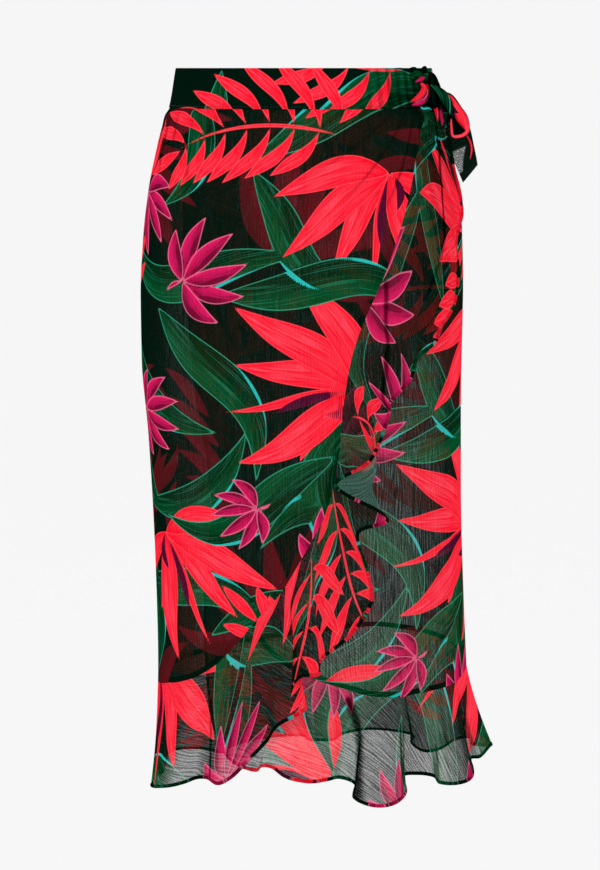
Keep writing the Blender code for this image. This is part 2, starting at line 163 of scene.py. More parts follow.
UNDER_HIDDEN_EDGE = table(
    Edge,
    (231, 410), (228.5, 345), (226, 270), (223, 195), (219, 125), (214, 70),
)
BACK_SEAM = table(
    Edge,
    (0, 661), (42, 647), (60, 646), (90, 657), (135, 671), (180, 681),
)


@dataclass(frozen=True)
class Strap:
    """A section of a tie end: its two edges, how far in front it lies, and how wide it gapes."""

    outer_x: float
    outer_z: float
    inner_x: float
    inner_z: float
    y: float
    gape: float


TIE_LOOP = table(
    Strap,
    (143.6, -3, 145, -14, -46.5, 5), (154.5, -6, 149.5, -23, -45.5, 7), (163, -16, 152, -33, -47, 9),
    (171, -30, 156, -43, -47.5, 12), (174, -44, 159, -51, -47, 14),
)
TIE_TAIL = table(
    Strap,
    (143.2, -5, 144.6, -14, -40.5, 1), (160, -17, 151.5, -31, -36, 2), (170, -31, 155, -45, -34, 3),
    (176, -43, 157.5, -57, -33.5, 3), (180.5, -62, 159, -72, -33, 3), (183, -73, 162.5, -85, -32.5, 2),
    (184.5, -81, 169, -100, -32, 2),
)


def column(rows: Sequence[object], name: str) -> np.ndarray:
    """Return one named column of a table, a value for each row."""
    return np.array([getattr(row, name) for row in rows], float)


def smooth_through(knots: np.ndarray, values: np.ndarray, places: np.ndarray) -> np.ndarray:
    """Interpolate with a monotone cubic: each tangent is a weighted harmonic mean of the slopes beside it.

    Args:
        knots: Where the values are known, rising.
        values: The values there.
        places: Where they are wanted.

    Returns:
        The values at the places.
    """
    steps = np.diff(knots)
    slopes = np.diff(values) / steps
    same_way = slopes[:-1] * slopes[1:] > 0
    before, after = np.where(same_way, slopes[:-1], 1.0), np.where(same_way, slopes[1:], 1.0)
    left, right = steps[:-1] + 2 * steps[1:], 2 * steps[:-1] + steps[1:]
    middle = np.where(same_way, (left + right) / (left / after + right / before), 0.0)
    tangents = np.concatenate([slopes[:1], middle, slopes[-1:]])
    places = np.clip(places, knots[0], knots[-1])
    index = np.clip(np.searchsorted(knots, places) - 1, 0, len(steps) - 1)
    part = (places - knots[index]) / steps[index]
    start = (2 * part**3 - 3 * part**2 + 1) * values[index]
    end = (3 * part**2 - 2 * part**3) * values[index + 1]
    bend = (part**3 - 2 * part**2 + part) * tangents[index]
    unbend = (part**3 - part**2) * tangents[index + 1]
    return start + end + (bend + unbend) * steps[index]


def rounded_through(values: np.ndarray, places: np.ndarray) -> np.ndarray:
    """Interpolate values known at whole numbers, 0, 1, 2 and so on, with a Catmull-Rom curve.

    Args:
        values: The values at the whole numbers.
        places: Where they are wanted, in the same count.

    Returns:
        The values at the places.
    """
    padded = np.concatenate([[2 * values[0] - values[1]], values, [2 * values[-1] - values[-2]]])
    index = np.clip(np.floor(places).astype(int), 0, len(values) - 2)
    part = places - index
    before, first, second, after = (padded[index + shift] for shift in range(4))
    square = 2 * before - 5 * first + 4 * second - after
    cube = 3 * first - before - 3 * second + after
    return first + 0.5 * part * (second - before + part * (square + part * cube))


def rounded(rows: Sequence[object], places: np.ndarray, *names: str) -> list[np.ndarray]:
    """Return a table's named columns, rounded through its rows at the places."""
    return [rounded_through(column(rows, name), places) for name in names]


def finely(rows: Sequence[object], steps: int) -> np.ndarray:
    """Return places along a table, from its first row to its last, with so many steps to a row."""
    return np.linspace(0, len(rows) - 1, (len(rows) - 1) * steps + 1)


def running_length(points: np.ndarray) -> np.ndarray:
    """Return the distance covered along the first axis of points, from zero, without the last axis."""
    steps = np.linalg.norm(np.diff(points, axis=0), axis=-1)
    return np.concatenate([np.zeros_like(steps[:1]), np.cumsum(steps, axis=0)])


def joined(*values: np.ndarray | float) -> np.ndarray:
    """Return the values side by side on a new last axis, each spread to the shape of all."""
    return np.stack(np.broadcast_arrays(*values), axis=-1)


def limited(values: np.ndarray) -> np.ndarray:
    """Return the values held between 0 and 1."""
    return np.clip(values, 0, 1)


@dataclass
class BodyForm:
    """The hollow form that the worn cloth keeps."""

    rings: tuple[Ring, ...] = BODY_RINGS
    level_step: float = 20.0
    levels: int = 44
    arc_lengths: np.ndarray = field(init=False)

    def __post_init__(self) -> None:
        """Measure the arc length from angle 0 at every degree and at evenly spaced levels."""
        levels = np.arange(self.levels) * self.level_step
        self.arc_lengths = running_length(self.at(np.arange(361.0)[:, None], levels[None, :], 0.0))

    def at(self, angle: np.ndarray, below: np.ndarray, lift: np.ndarray) -> np.ndarray:
        """Return points: an ellipse at each depth, grown by the lift, and split into front and back halves.

        Args:
            angle: Degrees round the body.
            below: Depth below the top edge.
            lift: Distance off the body form.

        Returns:
            The points, with x, y and z on the last axis.
        """
        angle, below, lift = (item.astype(float) for item in np.broadcast_arrays(angle, below, lift))
        levels = column(self.rings, "below")
        half_width, centre_x, front, back = (
            smooth_through(levels, column(self.rings, name), below)
            for name in ("half_width", "centre_x", "depth_front", "depth_back")
        )
        turn = np.radians(angle)
        depth = np.where(np.sin(turn) < 0, front, back) + lift
        x = centre_x + (half_width + lift) * np.cos(turn)
        return joined(x, depth * np.sin(turn), TOP_Z - below)

    def arc(self, angle: np.ndarray, below: np.ndarray) -> np.ndarray:
        """Return the length along the body from angle 0 at a depth.

        Args:
            angle: Degrees round the body, of any number of turns.
            below: Depth below the top edge.

        Returns:
            The length, which goes on growing past each full turn.
        """
        turns = np.floor(angle / 360.0)
        degrees = angle - 360.0 * turns
        level = np.clip(below / self.level_step, 0, self.levels - 1.001)
        low_level = level.astype(int)
        low_degree = np.clip(degrees.astype(int), 0, 359)
        across, down = degrees - low_degree, level - low_level

        def at_level(row: np.ndarray) -> np.ndarray:
            """Return the length at one whole level, between two whole degrees."""
            first, second = self.arc_lengths[low_degree, row], self.arc_lengths[low_degree + 1, row]
            return self.arc_lengths[360, row] * turns + first * (1 - across) + second * across

        return at_level(low_level) * (1 - down) + at_level(low_level + 1) * down

    def degree_length(self, angle: np.ndarray, below: np.ndarray) -> np.ndarray:
        """Return the length of one degree at a place."""
        return self.arc(angle + 0.5, below) - self.arc(angle - 0.5, below)

    def run(self, start: float, end: float, below: float, count: int = 3000) -> list[np.ndarray]:
        """Return fine steps of angle from start to end, and the arc length at each at one depth."""
        fine = np.linspace(start, end, count)
        return [fine, self.arc(fine, np.full(count, below))]


def wrap_lift(along: np.ndarray) -> np.ndarray:
    """Return how far the wrapped cloth has spiralled out: none under, LAP_LIFT over, eased between."""
    part = limited((np.asarray(along, float) - RIGHT_SEAM) / (RIGHT_SEAM - LEFT_SEAM))
    return LAP_LIFT * part * part * (3 - 2 * part)


class Layer(Enum):
    """The printed layers in the order of printing, by their channel among a vertex's print values. The first
    holds painted light: ghosts of the under layers' red print, as seen through the sheer cloth.
    """

    SHADOW = 12
    LEAF_UNDER = 0
    RED_BACK = 3
    RED_MIDDLE = 4
    RED_FRONT = 5
    STAMEN = 11
    LEAF_OVER = 1
    LILY_BACK = 6
    LILY_MIDDLE = 7
    LILY_FRONT = 8


LEAVES = (Layer.LEAF_UNDER, Layer.LEAF_OVER)
REDS = (Layer.RED_BACK, Layer.RED_MIDDLE, Layer.RED_FRONT)
LAYERS = tuple(layer for layer in Layer if layer is not Layer.SHADOW)
PRINT_SETS = ("print_leaves", "print_reds", "print_lilies", "print_lie", "print_ghosts")
CHANNELS = 3 * len(PRINT_SETS)
RIM_CHANNEL = 2
ACROSS_CHANNEL = 9
ALONG_CHANNEL = 10


@dataclass(frozen=True)
class Blade:
    """One petal, leaf or leaflet: a bent spine with a width that swells and closes to a point."""

    x: float
    y: float
    heading: float
    length: float
    width: float
    layer: Layer
    bend: float = 0.0
    sway: float = 0.0
    peak: float = 0.5

    def directions(self) -> tuple[np.ndarray, np.ndarray]:
        """Return the directions along the chord and to its left."""
        turn = math.radians(self.heading)
        return np.array([math.cos(turn), math.sin(turn)]), np.array([-math.sin(turn), math.cos(turn)])

    def beside(self, part: float, sideways: float) -> np.ndarray:
        """Return the place at a part of the chord and a distance to its left."""
        ahead, aside = self.directions()
        return np.array([self.x, self.y]) + ahead * self.length * part + aside * sideways

    def middle(self) -> np.ndarray:
        """Return the place halfway between the middles of the chord and of the bent spine."""
        return self.beside(0.5, self.length * self.bend / 2)

    def measure(self, places: np.ndarray) -> tuple[np.ndarray, np.ndarray, np.ndarray]:
        """Measure places against the blade.

        The spine leaves its chord by a parabola and a sine. The half width is the sine of a power of the
        part covered, so that it peaks where it should. Depth is the half width less the distance to the
        spine, and below zero outside.

        Args:
            places: Places on the flat cloth, (count, 2).

        Returns:
            The depth inside the outline, the signed distance across and the distance along.
        """
        ahead, aside = self.directions()
        away = places - np.array([self.x, self.y])
        part = away @ ahead / self.length
        inside = limited(part)
        whole = 2 * np.pi * inside
        spine = self.length * (4 * self.bend * inside * (1 - inside) + self.sway * np.sin(whole))
        slope = 4 * self.bend * (1 - 2 * inside) + 2 * np.pi * self.sway * np.cos(whole)
        across = (away @ aside - spine) / np.sqrt(1 + slope**2)
        half = self.width / 2 * np.sin(np.pi * inside ** (math.log(0.5) / math.log(self.peak)))
        beyond = np.abs(part - inside) * self.length
        depth = np.where(beyond > 0, -np.hypot(beyond, across), half - np.abs(across))
        return depth, across, inside * self.length


@dataclass(frozen=True)
class Flower:
    """A flower of pointed petals that fan out from one place."""

    x: float
    y: float
    heading: float
    size: float
    flip: float = 1.0

    def fan(self, petals: Sequence[tuple], sway: float, peak: float) -> list[Blade]:
        """Return the petals.

        Args:
            petals: Each one's turn in degrees, its length, width and bend as shares, and its layer.
            sway: How far they sway.
            peak: Where they are widest.

        Returns:
            The petals, in the same order.
        """
        flip, size = self.flip, self.size
        return [
            Blade(
                self.x, self.y, self.heading + turn * flip, size * length, size * width, layer, bend * flip,
                sway * flip, peak,
            )
            for turn, length, width, bend, layer in petals
        ]


class FanFlower(Flower):
    """A large flower of long petals, with two dark stamens."""

    def blades(self) -> list[Blade]:
        """Make the petals and the stamens.

        Returns:
            The flower's blades.
        """
        petals = (
            (-78, 0.84, 0.20, -0.10, Layer.RED_MIDDLE), (-52, 0.66, 0.16, 0.12, Layer.RED_BACK),
            (-34, 1.02, 0.23, -0.05, Layer.RED_FRONT), (-13, 0.97, 0.07, 0.02, Layer.RED_MIDDLE),
            (8, 0.90, 0.19, 0.05, Layer.RED_BACK), (30, 1.06, 0.24, 0.05, Layer.RED_MIDDLE),
            (57, 0.93, 0.23, 0.10, Layer.RED_FRONT),
        )
        stamens = ((-18, 0.62, 0.07, 0.06, Layer.STAMEN), (-36, 0.30, 0.07, -0.2, Layer.STAMEN))
        return self.fan(petals, 0.02, 0.42) + self.fan(stamens, 0.0, 0.6)


class StarLily(Flower):
    """A small dark pink lily: broad short petals in a half circle on a short stalk."""

    def blades(self) -> list[Blade]:
        """Make the petals and the stalk.

        Returns:
            The flower's blades.
        """
        petals = (
            (-66, 0.74, 0.26, -0.12, Layer.LILY_FRONT), (-34, 0.98, 0.26, -0.08, Layer.LILY_BACK),
            (-8, 1.04, 0.25, -0.04, Layer.LILY_MIDDLE), (18, 1.02, 0.24, 0.05, Layer.LILY_FRONT),
            (44, 0.96, 0.25, 0.09, Layer.LILY_BACK), (78, 0.80, 0.27, 0.16, Layer.LILY_MIDDLE),
            (186, 0.34, 0.07, 0.10, Layer.LILY_FRONT),
        )
        return self.fan(petals, 0.0, 0.46)


@dataclass(frozen=True)
class PalmFrond:
    """A red palm frond: a bent stem with pairs of narrow leaflets."""

    x: float
    y: float
    heading: float
    length: float
    pairs: int = 7
    curve: float = 0.1
    reach: float = 0.5
    wide: float = 12.5

    def blades(self) -> list[Blade]:
        """Make the stem, the leaflets and the tip.

        Returns:
            The frond's blades.
        """
        stem = Blade(self.x, self.y, self.heading, self.length, 4.0, Layer.RED_BACK, self.curve, 0.0, 0.35)
        made = [stem]
        for pair in range(self.pairs):
            part = (pair + 0.7) / (self.pairs + 0.3)
            place = stem.beside(part, self.length * 4 * self.curve * part * (1 - part))
            lean = self.heading + math.degrees(math.atan(4 * self.curve * (1 - 2 * part)))
            long = self.length * self.reach * (1 - 0.62 * abs(part - 0.35) ** 1.1)
            for side, share, layer in ((1, 1.0, Layer.RED_FRONT), (-1, 0.94, Layer.RED_MIDDLE)):
                turn, bend = lean + side * (56 - 20 * part), side * 0.09
                made.append(Blade(*place, turn, long * share, self.wide, layer, bend, side * 0.02, 0.55))
        lean = self.heading - 0.9 * math.degrees(math.atan(4 * self.curve))
        return [*made, Blade(*stem.beside(0.97, 0.0), lean, self.length * 0.36, self.wide, Layer.RED_FRONT)]


@dataclass(frozen=True)
class LongLeaf:
    """A long green leaf with a light rim, folded over along part of one side."""

    x: float
    y: float
    heading: float
    length: float
    width: float
    bend: float
    sway: float = 0.0
    layer: Layer = Layer.LEAF_UNDER

    def blades(self) -> list[Blade]:
        """Return the leaf's one blade."""
        form = (self.length, self.width, self.layer, self.bend, self.sway, 0.45)
        return [Blade(self.x, self.y, self.heading, *form)]


@dataclass(frozen=True)
class SeeThroughGhost:
    """Painted light: another motif's dim maroon copy in the black ground, standing in for an under layer's
    red print seen lit through the sheer cloth.
    """

    motif: FanFlower | PalmFrond

    def blades(self) -> list[Blade]:
        """Return the motif's blades, all in the layer of painted see-through ghosts."""
        return [replace(blade, layer=Layer.SHADOW) for blade in self.motif.blades()]


MOTIFS = (
    *table(
        FanFlower,
        (290, 336, 184, 152), (58, 500, 50, 140, -1), (318, 108, 112, 132), (392, 448, 232, 118, -1),
    ),
    *table(
        PalmFrond,
        (262, 68, 174, 178, 7, 0.1, 0.48, 14), (318, 646, 202, 160, 7, -0.12, 0.48, 13.5),
        (386, 566, -104, 120, 6, 0.12, 0.5, 12.5),
    ),
    *table(
        StarLily,
        (98, 222, -34, 76), (26, 132, 70, 66, -1), (24, 368, -6, 66), (352, 288, -52, 64, -1),
        (252, 528, -62, 72), (176, 462, 150, 52),
    ),
    *table(
        LongLeaf,
        (-6, 182, 2, 235, 42, 0.14, 0.06), (140, 236, 10, 230, 44, -0.17, 0.06, Layer.LEAF_OVER),
        (176, 104, 44, 175, 38, 0.16, -0.05), (62, 252, 58, 215, 44, -0.15, 0.05),
        (0, 282, 36, 170, 38, 0.18), (296, 356, 100, 215, 44, 0.15, 0.06),
        (262, 404, 160, 215, 40, -0.14, 0.06, Layer.LEAF_OVER), (20, 470, -32, 175, 38, 0.2),
        (350, 476, 170, 175, 40, 0.18, -0.05), (-12, 566, 12, 215, 42, -0.16, 0.05),
        (372, 140, 82, 225, 44, -0.14, 0.06), (118, 606, 2, 220, 42, -0.15, -0.05),
        (368, 32, 162, 205, 46, 0.12, 0.04), (392, 16, 66, 160, 36, 0.14),
        (340, 640, -62, 175, 38, -0.18, 0.05), (120, 6, 112, 150, 34, -0.18, 0.04),
    ),
    # Painted light: dim copies of flowers and fronds, standing in for the under layers' red print seen
    # through.
    *map(SeeThroughGhost, table(
        FanFlower,
        (214, 196, -58, 132, -1), (14, 70, 28, 146), (336, 530, 118, 140, -1), (186, 606, 262, 146),
    )),
    *map(SeeThroughGhost, table(
        PalmFrond,
        (66, 292, 76, 190, 6, 0.1, 0.56, 19), (236, 470, -24, 190, 6, -0.12, 0.56, 19),
        (110, 392, 158, 190, 6, 0.12, 0.56, 19), (352, 300, -76, 180, 6, -0.1, 0.56, 19),
    )),
)


@dataclass(frozen=True)
class TropicalPrint:
    """The cloth's repeat: flowers, lilies, fronds and leaves on black, each column half a drop lower."""

    width: float = 400.0
    height: float = 640.0
    reach: float = 8.0
    fold_width: float = 3.4
    motifs: tuple[FanFlower | StarLily | PalmFrond | LongLeaf | SeeThroughGhost, ...] = MOTIFS

    def placed(self, blade: Blade) -> list[np.ndarray]:
        """Work out where a blade of the repeat reaches into the repeat's first rectangle.

        Args:
            blade: The blade.

        Returns:
            The shifts that bring it there, in millimetres.
        """
        middle = blade.middle()
        radius = blade.length / 2 * 1.02 + self.reach + blade.width / 2
        low, high = -radius - middle, np.array([self.width, self.height]) + radius - middle
        shifts = [
            np.array([across * self.width, down * self.height + across * self.height / 2])
            for across in range(-2, 3)
            for down in range(-2, 3)
        ]
        return [shift for shift in shifts if np.all((shift > low) & (shift < high))]

    def values(self, places: np.ndarray) -> np.ndarray:
        """Work out the print's values at places on the flat cloth.

        Each channel of a layer holds the depth inside the nearest blade of that layer. The rim channel is
        above zero inside a leaf's light fold, whose width swells along part of one side. The across and
        along channels hold the place on the topmost blade, in millimetres and in per cent of its length.

        Args:
            places: Places on the flat cloth, (count, 2).

        Returns:
            The values, (count, CHANNELS).
        """
        made = np.full((len(places), CHANNELS), -self.reach)
        made[:, [ACROSS_CHANNEL, ALONG_CHANNEL]] = 0.0
        rank = np.full(len(places), -1)
        columns = np.floor(places[:, 0] / self.width)
        down = np.mod(places[:, 1] - columns * self.height / 2, self.height)
        within = joined(places[:, 0] - columns * self.width, down)
        for blade in (blade for motif in self.motifs for blade in motif.blades()):
            ahead, aside = blade.directions()
            middle = blade.middle()
            room = (abs(blade.bend) * 0.6 + abs(blade.sway)) * blade.length + blade.width / 2 + self.reach
            channel, order = blade.layer.value, list(Layer).index(blade.layer)
            for shift in self.placed(blade):
                away = within - (middle + shift)
                near = np.flatnonzero(
                    (np.abs(away @ ahead) < blade.length / 2 + self.reach) & (np.abs(away @ aside) < room)
                )
                depth, across, along = blade.measure(within[near] - shift)
                deeper = depth > made[near, channel]
                made[near, channel] = np.maximum(depth, made[near, channel])
                if blade.layer in LEAVES:
                    swell = np.exp(-(((along / blade.length - 0.62) / 0.13) ** 2))
                    folded_side = across * math.copysign(1.0, blade.bend) > 0
                    touched = deeper & (depth > -3)
                    rim = self.fold_width * swell * folded_side - np.abs(depth)
                    made[near[touched], RIM_CHANNEL] = rim[touched]
                topmost = deeper & (depth > -0.8) & (order >= rank[near])
                rank[near[topmost]] = order
                made[near[topmost], ACROSS_CHANNEL] = across[topmost]
                made[near[topmost], ALONG_CHANNEL] = along[topmost] / blade.length * 100.0
        return made


@dataclass(frozen=True)
class PrintPlace:
    """Where a piece was cut from the printed cloth: the origin's place there and the turn of the cut."""

    x: float = 0.0
    y: float = 0.0
    turn: float = 0.0

    def on_print(self, flat: np.ndarray) -> np.ndarray:
        """Turn and shift places of the cut piece onto the printed cloth.

        Args:
            flat: Places on the cut piece, in millimetres.

        Returns:
            Places on the printed cloth.
        """
        cosine, sine = math.cos(math.radians(self.turn)), math.sin(math.radians(self.turn))
        x, y = flat[..., 0], flat[..., 1]
        return joined(x * cosine - y * sine + self.x, x * sine + y * cosine + self.y)


@dataclass
class Cloth:
    """A grid of points and its places on the flat cut, both in millimetres.

    Crease_shade is painted shade that darkens the colour: 1 where the cloth lies open, falling towards 0 in
    the bottom of creases. Sheer is 0 where the cloth has its finish's own density, above 0 where fewer
    layers lie on each other, and below 0 where it is turned over and its paler wrong side shows. Doubled is
    1 along a fold where the cloth lies on itself, which thickens it and also paints shade along the fold.
    """

    points: np.ndarray
    flat: np.ndarray
    around: bool = False
    crease_shade: np.ndarray | float = 1.0
    sheer: np.ndarray | float = 0.0
    doubled: np.ndarray | float = 0.0

    def drape(self) -> np.ndarray:
        """Work out the painted shade, slant and sheer.

        Slant is how much cloth a level line from front to back goes through: one over the size of the
        normal's y, held between 1 and 3, and up to three times that where the cloth is doubled in a fold.
        The painted shade is crease_shade, darkened nearly to black along such folds.

        Returns:
            The three numbers of each point, along the last axis.
        """
        normal = np.cross(np.gradient(self.points, axis=0), np.gradient(self.points, axis=1))
        normal /= np.maximum(np.linalg.norm(normal, axis=-1, keepdims=True), 1e-9)
        slant = (1 + 2 * self.doubled) / np.clip(np.abs(normal[..., 1]), 1 / 3, 1)
        # Painted shade: crease_shade, darkened along doubled folds, multiplies the colour in the material.
        return joined(self.crease_shade * (1 - 0.92 * self.doubled), slant, self.sheer)

    def faces(self) -> np.ndarray:
        """Number the grid's squares, joined round when around is set.

        Returns:
            Rows of four vertex numbers.
        """
        columns, rows = self.points.shape[:2]
        number = np.arange(columns * rows).reshape(columns, rows)
        if self.around:
            number = np.concatenate([number, number[:, :1]], axis=1)
        corners = (number[:-1, :-1], number[1:, :-1], number[1:, 1:], number[:-1, 1:])
        return np.stack([corner.ravel() for corner in corners], axis=1)

    def area(self) -> float:
        """Measure the surface.

        Returns:
            Its area in square metres.
        """
        corners = self.points.reshape(-1, 3)[self.faces()]
        diagonals = np.cross(corners[:, 2] - corners[:, 0], corners[:, 3] - corners[:, 1])
        return float(np.linalg.norm(diagonals, axis=1).sum() / 2 * MM * MM)

    def depth(self) -> np.ndarray:
        """Return the distance down from the first row, for each point."""
        return running_length(self.points.swapaxes(0, 1)).swapaxes(0, 1)


@dataclass
class Part:
    """One surface of a piece: its cloth, where it was cut from the print, and points on its inner side.

    Without such points the inner side is the one towards the body's middle line.
    """

    cloth: Cloth
    place: PrintPlace
    inside: np.ndarray | None = None

    def faces(self) -> list[list[int]]:
        """Number the faces, with both ends closed when the cloth goes round.

        Returns:
            The vertex numbers of each face.
        """
        points, faces = self.cloth.points, self.cloth.faces().tolist()
        if self.cloth.around:
            columns, rows = points.shape[:2]
            last = (columns - 1) * rows
            faces += [list(range(rows)), list(range(last, last + rows))[::-1]]
        inside = points * np.array([0.0, 0.0, 1.0]) if self.inside is None else self.inside
        return outwards(points.reshape(-1, 3), faces, np.broadcast_to(inside, points.shape).reshape(-1, 3))


def outwards(points: np.ndarray, faces: list[list[int]], inside: np.ndarray) -> list[list[int]]:
    """Turn faces away from the inside, all of them or none.

    Args:
        points: The vertices, (count, 3).
        faces: The vertex numbers of each face.
        inside: A point on the inner side for each vertex.

    Returns:
        The faces, turned over if their normals mostly point inwards.
    """
    corners = points[np.array([face[:4] for face in faces])]
    normals = np.cross(corners[:, 2] - corners[:, 0], corners[:, 3] - corners[:, 1])
    away = corners.mean(axis=1) - inside[np.array([face[0] for face in faces])]
    return [face[::-1] for face in faces] if np.sum(normals * away) < 0 else faces


def fill_mesh(name: str, points: np.ndarray, faces: list[list[int]]) -> bpy.types.Mesh:
    """Make a smooth shaded mesh, in metres.

    Args:
        name: The mesh's name.
        points: Its points in millimetres, (count, 3).
        faces: The vertex numbers of each face.

    Returns:
        The mesh.
    """
    mesh = bpy.data.meshes.new(name)
    mesh.from_pydata(points * MM, [], faces)
    mesh.update()
    mesh.polygons.foreach_set("use_smooth", np.ones(len(mesh.polygons), bool))
    return mesh


def put(name: str, data: bpy.types.ID) -> bpy.types.Object:
    """Put an object in the scene.

    Args:
        name: The object's name.
        data: Its mesh, light or camera.

    Returns:
        The object.
    """
    made = bpy.data.objects.new(name, data)
    bpy.context.scene.collection.objects.link(made)
    return made


class Signal:
    """One number's socket in a material, for sums written as Python expressions."""

    def __init__(self, desk: Desk, socket: bpy.types.NodeSocket) -> None:
        """Keep the socket and the desk that it belongs to."""
        self.desk, self.socket = desk, socket

    def __add__(self, other: Signal | float) -> Signal:
        """Return the sum."""
        return self.desk.math("ADD", self, other)

    def __sub__(self, other: Signal | float) -> Signal:
        """Return the difference."""
        return self.desk.math("SUBTRACT", self, other)

    def __rsub__(self, other: float) -> Signal:
        """Return the difference the other way round."""
        return self.desk.math("SUBTRACT", other, self)

    def __mul__(self, other: Signal | float) -> Signal:
        """Return the product."""
        return self.desk.math("MULTIPLY", self, other)

    def __truediv__(self, other: Signal | float) -> Signal:
        """Return the quotient."""
        return self.desk.math("DIVIDE", self, other)

    def __rtruediv__(self, other: float) -> Signal:
        """Return the quotient the other way round."""
        return self.desk.math("DIVIDE", other, self)

    __radd__ = __add__
    __rmul__ = __mul__

    def absolute(self) -> Signal:
        """Return the value without its sign."""
        return self.desk.math("ABSOLUTE", self)

    def clamped(self) -> Signal:
        """Return the value held between 0 and 1."""
        return self.desk.math("ADD", self, 0.0, clamp=True)


Value = Signal | bpy.types.NodeSocket | float | tuple


class Desk:
    """A new material and its nodes."""

    def __init__(self, name: str) -> None:
        """Make the material, without nodes.

        Args:
            name: The material's name.
        """
        self.material = bpy.data.materials.new(name)
        self.material.use_nodes = True
        self.tree = self.material.node_tree
        self.tree.nodes.clear()

    def node(
        self,
        kind: str,
        settings: Mapping[str, object] | None = None,
        inputs: Mapping[str | int, Value] | None = None,
    ) -> bpy.types.Node:
        """Add a node.

        Args:
            kind: The node's type.
            settings: Its properties, set first.
            inputs: The value or link of each socket, by its name or number.

        Returns:
            The node.
        """
        made = self.tree.nodes.new(kind)
        for name, value in (settings or {}).items():
            setattr(made, name, value)
        for name, value in (inputs or {}).items():
            source = value.socket if isinstance(value, Signal) else value
            if isinstance(source, bpy.types.NodeSocket):
                self.tree.links.new(source, made.inputs[name])
            else:
                made.inputs[name].default_value = source
        return made

    def math(self, operation: str, *values: Signal | float, clamp: bool = False) -> Signal:
        """Return a Math node's result on the values."""
        settings = {"operation": operation, "use_clamp": clamp}
        return Signal(self, self.node("ShaderNodeMath", settings, dict(enumerate(values))).outputs[0])

    def parts(self, vector: bpy.types.NodeSocket) -> tuple[Signal, Signal, Signal]:
        """Return a vector's three numbers."""
        made = self.node("ShaderNodeSeparateXYZ", inputs={"Vector": vector})
        return tuple(Signal(self, made.outputs[index]) for index in range(3))

    def attribute(self, name: str) -> tuple[Signal, Signal, Signal]:
        """Return the three numbers of a mesh's vector attribute."""
        return self.parts(self.node("ShaderNodeAttribute", {"attribute_name": name}).outputs["Vector"])

    def noise(self, x: Signal, y: Signal | float, detail: float = 1.0) -> Signal:
        """Add a smooth noise of two numbers in the noise's own unit.

        Args:
            x: The first number.
            y: The second number.
            detail: How many finer layers it has.

        Returns:
            The noise, from 0 to 1.
        """
        place = self.node("ShaderNodeCombineXYZ", inputs={"X": x, "Y": y})
        inputs = {"Vector": place.outputs[0], "Scale": 1.0, "Detail": detail, "Roughness": 0.55}
        return Signal(self, self.node("ShaderNodeTexNoise", {"noise_dimensions": "2D"}, inputs).outputs[0])

    def colours(self, factor: Signal | float, below: Value, above: Value) -> bpy.types.NodeSocket:
        """Return the colour below, with the one above mixed over it by the factor."""
        return self.node("ShaderNodeMix", {"data_type": "RGBA"}, {0: factor, 6: below, 7: above}).outputs[2]

    def times(self, colour: Value, factor: Signal) -> bpy.types.NodeSocket:
        """Make a colour lighter or darker by a number.

        Args:
            colour: The colour.
            factor: The number, 1 for no change.

        Returns:
            The new colour's socket.
        """
        start = colour[:3] if isinstance(colour, tuple) else colour
        made = self.node("ShaderNodeVectorMath", {"operation": "SCALE"}, {0: start, "Scale": factor})
        return made.outputs[0]

    def surface(self, inputs: Mapping[str, Value]) -> bpy.types.Material:
        """Finish the material with a Principled shader.

        Args:
            inputs: The shader's inputs by name.

        Returns:
            The material.
        """
        shader = self.node("ShaderNodeBsdfPrincipled", inputs=inputs)
        self.node("ShaderNodeOutputMaterial", inputs={"Surface": shader.outputs[0]})
        return self.material


Colour = tuple[float, float, float, float]


@dataclass(frozen=True)
class Inks:
    """The print's colours, linear."""

    ground: Colour = (0.0006, 0.0075, 0.0038, 1.0)
    leaf_dark: Colour = (0.0, 0.020, 0.005, 1.0)
    leaf_light: Colour = (0.0003, 0.060, 0.016, 1.0)
    leaf_line: Colour = (0.03, 0.34, 0.20, 1.0)
    leaf_fold: Colour = (0.02, 0.46, 0.42, 1.0)
    red_deep: Colour = (0.88, 0.0010, 0.017, 1.0)
    red_light: Colour = (1.0, 0.110, 0.165, 1.0)
    red_line: Colour = (0.95, 0.10, 0.13, 1.0)
    lily_dark: Colour = (0.16, 0.003, 0.028, 1.0)
    lily_bright: Colour = (0.62, 0.009, 0.10, 1.0)
    lily_line: Colour = (0.85, 0.18, 0.32, 1.0)
    stamen: Colour = (0.07, 0.003, 0.022, 1.0)
    # Maroon of the painted see-through ghosts, which stand in for light from the under layers' red print.
    shadow: Colour = (0.110, 0.005, 0.010, 1.0)


